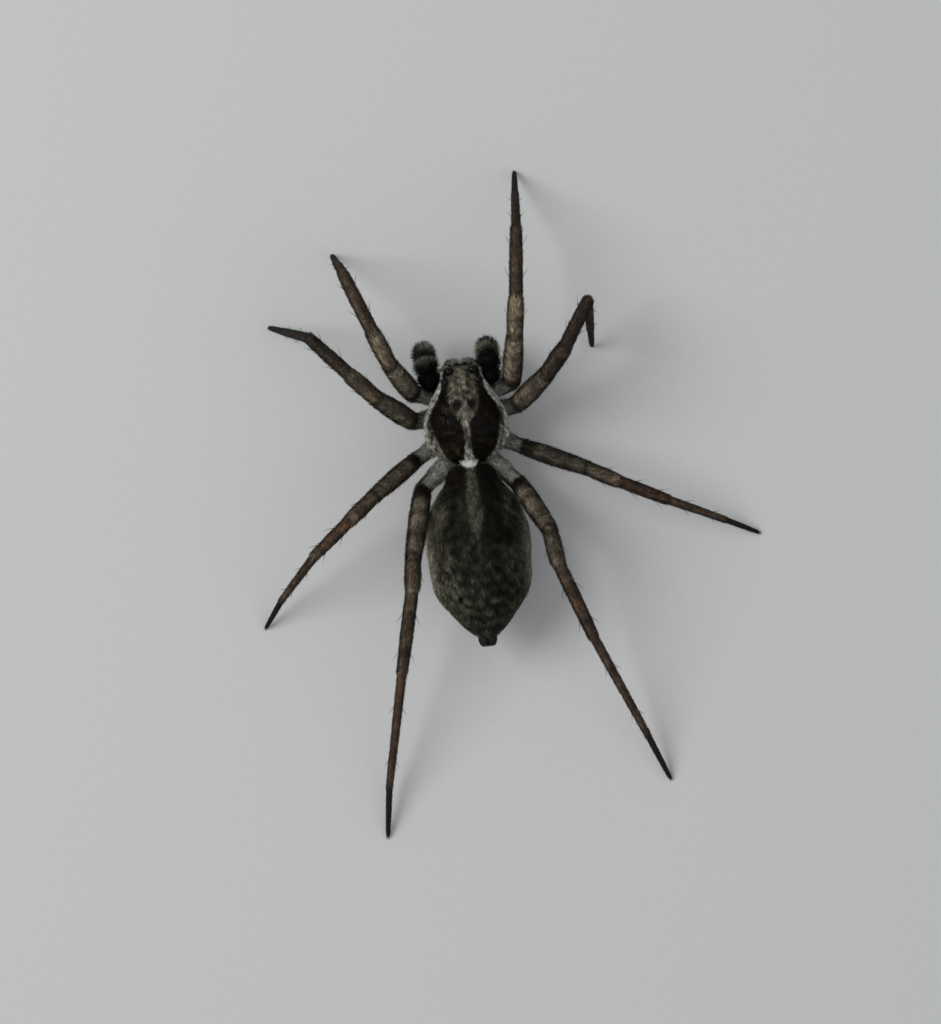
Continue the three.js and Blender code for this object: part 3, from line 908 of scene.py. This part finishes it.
# Legs: hips at the edge of the sternum, then bones turned outwards from straight ahead
# and raised from level, in degrees.
legs = {
    # out from the middle and along the body, for each pair
    "hips": [(0.44, -2.02), (0.56, -1.45), (0.54, -0.93), (0.4, -0.38)],
    "hipHeight": 1.12,
    "coxaRise": 7,
    # of coxa, femur, patella, tibia and foot
    "lengths": [(0.97, 2.25, 1.08, 2.02, 2.78), (0.93, 2.15, 0.97, 1.63, 2.8),
                (1.11, 2.03, 0.96, 1.61, 2.98), (1.32, 2.73, 1.11, 2.47, 4.92)],
    # turns of the five bones, then rises of femur, patella and tibia
    "stances": {
        "right": [((77, 9, 8, 6, 5), (57, -19, -10)), ((80, 51, 40, 32, 176), (59, 24, -25)),
                  ((117, 115, 118, 116, 115), (26, -10, -21)), ((137, 153, 171, 160, 157), (56, -34, -21))],
        "left": [((80, 34, 22, 21, 25), (65, 23, -24)), ((91, 53, 43, 42, 66), (59, 4, -15)),
                 ((121, 126, 129, 129, 139), (42, 4, -27)), ((131, 167, 172, 167, 169), (46, -39, -17))],
    },
    "toeHeight": 0.19,
    "toeReach": 0.1,                        # the thin toe goes this far on, and lies lower
    "toeLow": 0.05,
    "overlap": 0.7,                         # how far a bone reaches past its joints, in radii
    "coxaShare": 0.66,                      # of the first bone; the trochanter takes the rest
    "coxaOverlap": 0.06,
    "footSplit": (0.62, 0.62, 0.63, 0.7),   # metatarsus, as a share of the foot
    "footSag": 0.05,                        # downwards, at the split
    "footBow": {"right": (0, 0, 0.02, 0.02), "left": (0, 0, 0.07, 0.08)},   # outwards, at the split
    "femurBow": 0.05,                       # upwards, in the middle
    "plainBow": 0.02,                       # of the other bones
    # radii of the bare bones along their lengths
    "radii": {
        "coxa": (0.2, 0.23, 0.24, 0.21),
        "trochanter": (0.19, 0.205, 0.2),
        "femur": (0.195, 0.235, 0.248, 0.24, 0.22, 0.198),
        "patella": (0.185, 0.2, 0.208, 0.205, 0.182),
        "tibia": (0.16, 0.168, 0.166, 0.156, 0.14),
        "metatarsus": (0.122, 0.115, 0.107, 0.098, 0.09),
        "tarsus": (0.086, 0.084, 0.078, 0.067, 0.049),
    },
    # hair on each bone
    "coats": {
        "coxa": {"length": 0.15, "width": 0.014, "lift": 24, "sway": 20, "pale": 0.35, "frost": 1.3},
        "trochanter": {"length": 0.13, "width": 0.013, "lift": 22, "sway": 20, "pale": 0.3},
        "femur": {"length": 0.16, "width": 0.0145, "lift": 20, "sway": 18, "pale": 0.2},
        "patella": {"length": 0.14, "width": 0.0135, "lift": 20, "sway": 18, "pale": 0.2},
        "tibia": {"length": 0.13, "width": 0.013, "lift": 20, "sway": 16, "pale": 0.16},
        "metatarsus": {"length": 0.11, "width": 0.0115, "lift": 20, "sway": 14, "pale": 0.12},
        "tarsus": {"length": 0.075, "width": 0.01, "lift": 18, "sway": 12, "pale": 0.06},
    },
    "colours": {
        "coxa": (138, 136, 128),
        "trochanter": (138, 135, 128),
        "femur": (106, 98, 84),
        "patella": (90, 81, 67),
        "tibia": (78, 65, 52),
        "metatarsus": (74, 60, 47),
        "tarsus": (22, 16, 12),
    },
    "thickness": (1.0, 1.0, 0.88, 1.0),     # of each pair
    "shade": (1.1, 0.88, 0.84, 0.95),       # of each pair
    # of its tibia and its metatarsus, besides
    "boneShade": {"tibia": (0.76, 0.78, 1.0, 0.95), "metatarsus": (0.5, 0.58, 1.15, 0.95)},
    # of single bones that differ from their pair
    "paintedShadeAndLight": {
        ("right", 0, "femur"): 1.1,
        ("right", 0, "patella"): 1.14,
        ("right", 1, "femur"): 1.17,
        ("right", 1, "patella"): 0.66,
        ("right", 2, "femur"): 0.76,
        ("right", 2, "patella"): 1.07,
        ("right", 2, "tibia"): 0.9,
        ("right", 3, "patella"): 0.88,
        ("left", 1, "femur"): 1.06,
        ("left", 1, "tibia"): 0.9,
        ("left", 2, "femur"): 0.93,
        ("left", 2, "tibia"): 1.22,
    },
    # dark rings: places along each bone
    "rings": {
        "femur": (0.04, 0.42, 0.7),
        "patella": (0.05, 0.93),
        "tibia": (0.34, 0.72),
        "metatarsus": (0.3, 0.64, 0.97),
    },
    "ringWidth": 0.07,
    "ringColour": (28, 21, 14),
    "ringStrength": (0.1, 0.12, 0.33, 0.4),
    "seams": {"femur": (0.95,), "patella": (0.04, 0.96)},   # thin dark lines beside the joints
    "seamWidth": 0.03,
    "markColour": (14, 10, 6),
    "baseMark": (0.6, 0.65, 1.0, 1.0),      # strength of the dark mark on top of the femur's near end
    "kneeColour": (118, 106, 89),
    "rust": (84, 54, 38),
    "rustStrength": (0.12, 0.15, 0.42, 0.5),
    "toeColour": (6, 4, 3),
    "under": (92, 86, 74),
    "grids": {"coxa": (20, 26), "trochanter": (14, 24), "femur": (34, 28), "patella": (24, 26),
              "tibia": (28, 24), "metatarsus": (30, 20), "tarsus": (22, 18)},
}


def stepOn(start, side, turn, rise, length):
    # the far end of a bone, turned outwards from straight ahead and raised from level
    turn, rise = np.radians(turn), np.radians(rise)
    level = length * np.cos(rise)
    return start + np.array([side * level * np.sin(turn), -level * np.cos(turn), length * np.sin(rise)])


def legBones(side, pair):
    # the near and far end of each bone; the foot comes down to the floor and the toe lies on it
    turns, rises = legs["stances"][side][pair]
    lengths = legs["lengths"][pair]
    joints = [np.array([sides[side] * legs["hips"][pair][0], legs["hips"][pair][1], legs["hipHeight"]])]
    for turn, rise, length in zip(turns, (legs["coxaRise"], *rises), lengths):
        joints.append(stepOn(joints[-1], sides[side], turn, rise, length))
    ankle = joints[4]
    fall = np.degrees(np.arcsin((ankle[2] - legs["toeHeight"]) / lengths[4]))
    toe = stepOn(ankle, sides[side], turns[4], -fall, lengths[4])
    heading = unit((toe - ankle) * [1, 1, 0])
    toe = toe + heading * legs["toeReach"]
    toe[2] = legs["toeLow"]
    outwards = sides[side] * np.array([heading[1], -heading[0], 0])
    split = ankle + (toe - ankle) * legs["footSplit"][pair] + outwards * legs["footBow"][side][pair]
    split[2] = split[2] - legs["footSag"]
    hip = joints[1] - joints[0]
    middle = joints[0] + hip * legs["coxaShare"]
    return {
        "coxa": (joints[0], middle),
        "trochanter": (middle - hip * legs["coxaOverlap"], joints[1]),
        "femur": (joints[1], joints[2]),
        "patella": (joints[2], joints[3]),
        "tibia": (joints[3], joints[4]),
        "metatarsus": (ankle, split),
        "tarsus": (split, toe),
    }


def furTint(colour, bone, pair, points, u, a):
    # rusty in places, with faint rings, seams and dark flecks, streaks along it and a painted highlight
    # along the top
    rusty = smooth(mottle(points, 3.2, 51 + pair), -0.5, 0.7) * legs["rustStrength"][pair]
    colour = mix(colour, legs["rust"], rusty * (0.4 if bone == "femur" else 1))
    for place in legs["rings"][bone]:
        ring = line(u, place + 0.03 * mottle(points, 6, 52), legs["ringWidth"])
        colour = mix(colour, legs["ringColour"], ring * legs["ringStrength"][pair])
    if bone == "patella":
        colour = mix(colour, legs["kneeColour"], line(u, 0.76, 0.14) * 0.5)
    for place in legs["seams"].get(bone, ()):
        colour = mix(colour, legs["ringColour"], line(u, place, legs["seamWidth"]) * 0.6)
    if bone == "femur":
        mark = (1 - smooth(u, 0.16, 0.3)) * line(a, 0.5, 0.2)
        colour = mix(colour, legs["markColour"], mark * legs["baseMark"][pair])
    dark = smooth(mottle(points, 9.5, 53 + pair), 0.1, 0.7)
    colour = mix(colour, legs["ringColour"], dark * 0.26)
    turn = 2 * np.pi * a
    streaks = mottle(np.stack([np.cos(turn), np.sin(turn), u * 0.8], -1), 6, 59 + pair)
    grain = 1 + 0.2 * streaks + 0.19 * mottle(points, 34, 57) + 0.12 * mottle(points, 60, 58)
    # the painted highlight: a paler line along the top of the bone
    return colour * grain[..., None] * (1 + 0.2 * line(a, 0.5, 0.12))[..., None]


def legTint(bone, side, pair):
    # the bone's own colour and fur, with painted shade down its sides and a paler underside
    def tint(points, out, s, a):
        u = (1 - np.cos(np.pi * s)) / 2
        shade = legs["boneShade"].get(bone, (1, 1, 1, 1))[pair]
        shade = shade * legs["shade"][pair] * legs["paintedShadeAndLight"].get((side, pair, bone), 1)
        colour = np.broadcast_to(legs["colours"][bone], points.shape) * shade
        if bone in legs["rings"]:
            colour = furTint(colour, bone, pair, points, u, a)
        if bone == "tarsus":
            colour = mix(colour, legs["toeColour"], smooth(u, 0.1, 0.7) * 0.95)
        if bone == "trochanter":
            mark = smooth(u, 0.6, 0.85) * line(a, 0.5, 0.2)
            colour = mix(colour, legs["markColour"], mark * legs["baseMark"][pair])
        if bone != "coxa":
            # painted shade: every bone but the coxa is darker down both sides, away from its top
            colour = colour * (1 - 0.5 * smooth(np.abs(a - 0.5), 0.1, 0.2))[..., None]
        under = smooth(-out[..., 2], 0.1, 0.8)
        return mix(colour, legs["under"], under * (0.15 if bone == "tarsus" else 0.45))

    return tint


def legParts(side, pair):
    parts = {}
    for bone, (start, end) in legBones(side, pair).items():
        radii = np.array(legs["radii"][bone]) * legs["thickness"][pair]
        ahead = unit(end - start)
        near = start - ahead * radii[0] * legs["overlap"]
        far = end + ahead * (0 if bone == "tarsus" else legs["overlap"] * radii[-1])
        bow = legs["femurBow"] if bone == "femur" else legs["plainBow"]
        parts[bone] = {
            "shape": limbForm(near, far, radii, cap=0.9, bow=bow),
            "tint": legTint(bone, side, pair),
            "grid": legs["grids"][bone],
            "coat": legs["coats"][bone],
        }
    return parts


# Feelers: five short segments each, black, with grey hair at the root and at the tip.
feelers = {
    # from the root to the tip
    "joints": {
        "right": [(-0.3, -2.42, 1.1), (-0.6, -2.36, 1.36), (-0.77, -2.36, 1.6), (-0.79, -2.72, 1.76),
                  (-0.79, -3.06, 1.66), (-0.79, -3.44, 1.1)],
        "left": [(0.3, -2.42, 1.1), (0.66, -2.34, 1.36), (0.86, -2.34, 1.6), (0.92, -2.72, 1.76),
                 (0.97, -3.08, 1.66), (0.99, -3.47, 1.1)],
    },
    "radii": [(0.13, 0.16, 0.16), (0.16, 0.19, 0.2), (0.2, 0.25, 0.25), (0.24, 0.27, 0.25),
              (0.23, 0.25, 0.22, 0.12)],
    "coat": {"length": 0.21, "width": 0.014, "lift": 36, "sway": 22, "frost": 0.4},
    "pale": (0.4, 0.04, 0.04, 0.04, 0.4),     # of the tufts of each segment
    "black": (13, 12, 9),
    "brown": (46, 42, 37),
    "grey": (125, 123, 114),
    "tip": (106, 104, 91),
    # where each grey ring of the tip starts and ends
    "tipGrey": {"right": [(0.14, 0.38)], "left": [(-0.5, 0.0), (0.2, 0.6)]},
}


def feelerTint(place, side):
    # place counts the segments from the root
    def tint(points, out, s, a):
        colour = np.broadcast_to(feelers["black"], points.shape)
        if place == 0:
            return mix(colour, feelers["grey"], 0.75 - 0.4 * smooth(mottle(points, 10, 61), -0.2, 0.8))
        if place == 4:
            for start, end in feelers["tipGrey"][side]:
                ring = smooth(s, start, start + 0.12) * (1 - smooth(s, end, end + 0.12))
                colour = mix(colour, feelers["tip"], ring * smooth(mottle(points, 13, 62), -0.9, 0.1))
            return colour
        colour = mix(colour, feelers["brown"], smooth(mottle(points, 12, 63), 0.1, 0.7) * 0.75)
        greyEnd = smooth(s, 0.35, 0.6) * (place == 3 and side == "left")
        return mix(colour, feelers["tip"], greyEnd)

    return tint


def feelerParts(side):
    joints = feelers["joints"][side]
    return [
        {
            "shape": limbForm(joints[n], joints[n + 1], radii, cap=0.7),
            "tint": feelerTint(n, side),
            "grid": (20, 24),
            "coat": dict(feelers["coat"], pale=feelers["pale"][n]),
        }
        for n, radii in enumerate(feelers["radii"])
    ]


# Jaws: stout and bulging, side by side under the face, each with a small curved fang.
jaws = {
    # of the left one, mirrored for the right
    "top": (0.235, -2.66, 1.74),
    "bottom": (0.21, -2.87, 0.72),
    "radii": (0.17, 0.2, 0.205, 0.18, 0.13),
    "colour": (62, 42, 29),
    "dark": (26, 18, 13),
    "hair": (122, 120, 110),
    "coat": {"length": 0.2, "width": 0.014, "lift": 32, "sway": 18, "pale": 0.3},
}
fangs = {
    "start": (0.02, 0.02, 0.03),      # from the low end of the jaw
    "way": (0.12, -0.2, -1.0),
    "bend": (-1.2, 0.35, 0.1),
    "length": 0.2,
    "radius": 0.06,
    "colour": (22, 12, 8),
    "dark": (8, 5, 4),
}


def jawTint(points, out, s, a):
    colour = mix(np.broadcast_to(jaws["colour"], points.shape), jaws["dark"], smooth(s, 0.5, 0.95))
    return mix(colour, jaws["dark"], smooth(mottle(points, 8, 71), 0, 0.8) * 0.4)


def jawHairTint(points, out, s, a):
    colour = mix(np.broadcast_to(jaws["hair"], points.shape), jaws["dark"], smooth(s, 0.62, 0.95) * 0.8)
    colour = mix(colour, jaws["dark"], smooth(np.abs(points[..., 0]), 0.24, 0.4) * 0.7)
    return mix(colour, jaws["dark"], smooth(mottle(points, 9, 72), 0.2, 0.8) * 0.4)


def jawParts():
    return [
        {
            "shape": limbForm(jaws["top"] * mirror, jaws["bottom"] * mirror, jaws["radii"], cap=0.6),
            "tint": jawTint,
            "hairTint": jawHairTint,
            "grid": (32, 32),
            "coat": jaws["coat"],
            "thick": lambda points, out, s: smooth(-out[..., 1], -0.4, 0.3) * smooth(s, 0.1, 0.2),
        }
        for mirror in mirrors
    ]


# Mouth: the lip in the middle and a chewing plate on each side of it.
mouth = {
    "lip": ((0, -2.2, 1.02), (0, -2.5, 0.96), (0.13, 0.15, 0.11)),
    "lipColours": ((56, 44, 32), (30, 22, 16)),
    "lipCoat": {"length": 0.1, "width": 0.012, "lift": 30, "sway": 20},
    "plate": ((0.36, -2.3, 1.08), (0.2, -2.68, 0.9), (0.11, 0.15, 0.13, 0.1)),
    "plateColours": ((84, 72, 54), (52, 42, 30)),
    "plateCoat": {"length": 0.11, "width": 0.012, "lift": 30, "sway": 20},
}


def mouthParts():
    parts = [{
        "shape": limbForm(*mouth["lip"], flat=1.1),
        "tint": plainTint(*mouth["lipColours"]),
        "grid": (14, 20),
        "coat": mouth["lipCoat"],
    }]
    start, end, radii = mouth["plate"]
    for mirror in mirrors:
        parts.append({
            "shape": limbForm(start * mirror, end * mirror, radii),
            "tint": plainTint(*mouth["plateColours"]),
            "grid": (16, 20),
            "coat": mouth["plateCoat"],
        })
    return parts


def hornForm(start, way, bend, length, radius):
    # a tapering horn: its middle line is a parabola that leaves along way and bends towards bend
    start, way, bend = np.asarray(start, float), np.asarray(way, float), np.asarray(bend, float)
    across = unit(np.cross(way, bend))
    above = np.cross(across, way)

    def shape(s, a):
        turn = 2 * np.pi * a
        centre = start + length * (s[..., None] * way + (0.45 * s**2)[..., None] * bend)
        thick = radius * (1 - s) ** 0.7 * np.minimum(1, s * 12) ** 0.5
        centre = centre + (np.cos(turn) * thick)[..., None] * across
        return centre - (np.sin(turn) * thick)[..., None] * above

    return shape


def fangParts():
    parts = []
    for mirror in mirrors:
        start = jaws["bottom"] * mirror + fangs["start"] * mirror
        way, bend = unit(fangs["way"] * mirror), fangs["bend"] * mirror
        parts.append({
            "shape": hornForm(start, way, bend, fangs["length"], fangs["radius"]),
            "tint": plainTint(fangs["colour"], fangs["dark"]),
            "grid": (16, 14),
        })
    return parts


def eyeParts():
    return [
        {
            "shape": ballForm(place * mirror, radius),
            "tint": plainTint(*eyeColours, fineness=20),
            "grid": (24, 32),
        }
        for mirror in mirrors
        for radius, *place in eyes.values()
    ]


# Spines on the legs, and two claws on each toe
spines = {
    "colours": ((30, 22, 15), (56, 44, 30)),
    "lift": 38,          # in degrees from the lie of the hair
    "radius": 0.013,
    "rooted": 0.02,      # how deep they stand in the skin
    "bend": 0.5,         # along the lie, for each length
    # bone: (place along it, turn round it from above in degrees, length)
    "places": {
        "femur": [(0.3, 0, 0.34), (0.55, 0, 0.36), (0.78, 0, 0.34), (0.45, 55, 0.32), (0.72, 50, 0.32),
                  (0.45, -55, 0.32), (0.72, -50, 0.32)],
        "patella": [(0.85, 0, 0.3), (0.5, 75, 0.26), (0.5, -75, 0.26)],
        "tibia": [(0.25, 0, 0.34), (0.7, 0, 0.32), (0.3, 70, 0.36), (0.72, 70, 0.34), (0.3, -70, 0.36),
                  (0.72, -70, 0.34), (0.25, 155, 0.38), (0.6, 155, 0.38), (0.25, -155, 0.38),
                  (0.6, -155, 0.38)],
        "metatarsus": [(0.1, 150, 0.36), (0.1, -150, 0.36), (0.4, 150, 0.32), (0.4, -150, 0.32),
                       (0.3, 80, 0.28), (0.3, -80, 0.28), (0.75, 90, 0.24), (0.75, -90, 0.24)],
    },
}
claws = {
    "colours": ((18, 12, 8), (40, 28, 18)),
    "length": 0.1,
    "radius": 0.014,
    "apart": 0.018,      # each from the middle of the toe
    "ahead": 0.01,
    "spread": 0.25,      # sideways and up, for each length ahead
    "bend": (0, 0, -1.3),
}


def spineParts(bones):
    parts = []
    lift = np.radians(spines["lift"])
    for bone, places in spines["places"].items():
        u, turn, length = np.array(places).T
        s = np.arccos(1 - 2 * u) / np.pi
        root, out, lie, _ = surfaceFrame(bones[bone]["shape"], s, (0.5 + turn / 360) % 1)
        for k in range(len(u)):
            way = lie[k] * np.cos(lift) + out[k] * np.sin(lift)
            start = root[k] - out[k] * spines["rooted"]
            parts.append({
                "shape": hornForm(start, way, lie[k] * spines["bend"], length[k], spines["radius"]),
                "tint": plainTint(*spines["colours"]),
                "grid": (7, 5),
            })
    return parts


def clawParts(side, pair):
    start, end = legBones(side, pair)["tarsus"]
    ahead = unit(end - start)
    beside = np.cross(ahead, [0, 0, 1])
    parts = []
    for turned in (-1, 1):
        way = unit(ahead + beside * claws["spread"] * turned + [0, 0, claws["spread"]])
        root = end + beside * claws["apart"] * turned + ahead * claws["ahead"]
        parts.append({
            "shape": hornForm(root, way, claws["bend"], claws["length"], claws["radius"]),
            "tint": plainTint(*claws["colours"]),
            "grid": (9, 7),
        })
    return parts


# Pieces

def dress(piece, slot, nodes):
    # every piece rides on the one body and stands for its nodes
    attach(piece, "root")
    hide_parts(*nodes)


def named(*ends):
    return [f"{side}_{end}" for side in sides for end in ends]


nodeBones = ("coxa", "femur", "patella", "tibia", "foot")
legNodes = {pair: named(*[f"leg_{pair + 1}_{bone}" for bone in nodeBones]) for pair in range(4)}
allLegNodes = [node for nodes in legNodes.values() for node in nodes]
feelerNodes = named("feeler_base", "feeler_middle", "feeler_tip")

bones = {(side, pair): legParts(side, pair) for side in sides for pair in range(4)}
feelerSegments = [part for side in sides for part in feelerParts(side)]
spinneretFingers = spinneretParts()
mouthPlates = mouthParts()
jawPair = jawParts()

skinParts = [abdomenPart, stalkPart, *spinneretFingers, *mouthPlates, *feelerSegments]
skinParts += [part for leg in bones.values() for part in leg.values()]
# name, parts, finish, slot and nodes
shells = [
    ("skin", skinParts, "skin", "abdomen", ["abdomen", "spinnerets", *feelerNodes, *allLegNodes]),
    ("carapaceShell", [carapacePart], "carapace", "carapace", ["carapace"]),
    ("sternumPlate", [sternumPart], "sternum", "underside", ["sternum"]),
    ("jawShells", jawPair, "jaw", "jaw", named("jaw")),
    ("fangs", fangParts(), "fang", "jaw", named("jaw")),
    ("eyes", eyeParts(), "eye", "eye", named(*[f"eye_{name}" for name in eyes])),
    ("legSpines", [part for leg in bones.values() for part in spineParts(leg)], "spine", "leg_tibia",
     allLegNodes),
    ("claws", [part for side, pair in bones for part in clawParts(side, pair)], "claw", "leg_foot",
     named(*[f"leg_{pair + 1}_foot" for pair in range(4)])),
]
for name, parts, finish, slot, nodes in shells:
    dress(shellObject(name, parts, finishes[finish]), slot, nodes)
    print(name, "done")

faceParts = [*feelerSegments, *jawPair, *mouthPlates, sternumPart]
# name, parts, tufts on each square mm, seed, finish, slot and nodes
coats = [
    ("carapaceCoat", [carapacePart], 1600, 1, "darkHair", "carapace", ["carapace"]),
    ("waistTuft", [waistPart], 3500, 5, "shortHair", "carapace", ["carapace"]),
    ("abdomenUpperCoat", [upperAbdomen], 1300, 2, "darkHair", "abdomen", ["abdomen"]),
    ("abdomenLowerCoat", [lowerAbdomen, *spinneretFingers], 1100, 3, "shortHair", "abdomen",
     ["abdomen", "spinnerets"]),
    ("faceCoat", faceParts, 1100, 4, "darkHair", "feeler", [*feelerNodes, *named("jaw"), "sternum"]),
]
for pair in range(4):
    parts = [part for side in sides for part in bones[side, pair].values()]
    coats.append((f"legCoat{pair + 1}", parts, 1000, 10 + pair, "shortHair", "leg_femur", legNodes[pair]))
for name, parts, density, seed, finish, slot, nodes in coats:
    dress(coatObject(name, parts, density, seed, finishes[finish]), slot, nodes)
print("coat done")

# Floor, light and camera
studio = {
    "floor": 0.3,                      # half its width, in metres
    "floorColour": (192, 192, 190),
    "sky": (0.93, 0.96, 1.0),
    "skyStrength": 0.5,
    # place, size and watts
    "lamps": [((0.12, -0.04, 0.13), 0.11, 0.2), ((-0.11, 0.06, 0.14), 0.16, 0.03)],
}
camera = {
    "aim": (0.126, 1.244),     # the place under the lens, in the spider's millimetres
    "height": 112.0,
    "turn": 174.21,            # degrees, so that the head points up the picture
    "sensor": 24.0,
    "lens": 92.8,
}


def floorMaterial():
    material, tree = startMaterial("floorPaper", {"Roughness": 0.8})
    where = millimetres(tree)
    baseColour(tree, noise(tree, where, 6, ends=(0.99, 1.01)), studio["floorColour"])
    bump(tree, noise(tree, where, 12), 0.002)
    return material


def makeFloor():
    half = studio["floor"]
    corners = [(-half, -half, 0), (half, -half, 0), (half, half, 0), (-half, half, 0)]
    mesh = bpy.data.meshes.new("floor")
    mesh.from_pydata(corners, [], [(0, 1, 2, 3)])
    mesh.materials.append(floorMaterial())
    floor = bpy.data.objects.new("floor", mesh)
    bpy.context.scene.collection.objects.link(floor)


def makeLights():
    world = bpy.data.worlds.new("softSky")
    world.use_nodes = True
    sky = world.node_tree.nodes["Background"]
    sky.inputs["Color"].default_value = (*studio["sky"], 1)
    sky.inputs["Strength"].default_value = studio["skyStrength"]
    bpy.context.scene.world = world
    for n, (place, size, watts) in enumerate(studio["lamps"]):
        lamp = bpy.data.lights.new(f"softLamp{n + 1}", "AREA")
        lamp.shape = "DISK"
        lamp.size = size
        lamp.energy = watts
        stand = bpy.data.objects.new(lamp.name, lamp)
        stand.location = place
        stand.rotation_euler = (-Vector(place)).to_track_quat("-Z", "Y").to_euler()
        bpy.context.scene.collection.objects.link(stand)


def makeCamera():
    view = bpy.data.cameras.new("fromAbove")
    view.sensor_fit = "VERTICAL"
    view.sensor_height = camera["sensor"]
    view.lens = camera["lens"]
    view.clip_start = 0.001
    view.clip_end = 10
    eye = bpy.data.objects.new("fromAbove", view)
    eye.location = np.array([*camera["aim"], camera["height"]]) * mm + waist
    eye.rotation_euler = (0, 0, np.radians(camera["turn"]))
    bpy.context.scene.collection.objects.link(eye)
    bpy.context.scene.camera = eye


makeFloor()
makeLights()
makeCamera()
bpy.context.scene.view_settings.view_transform = "Standard"
print("floor, light and camera done")
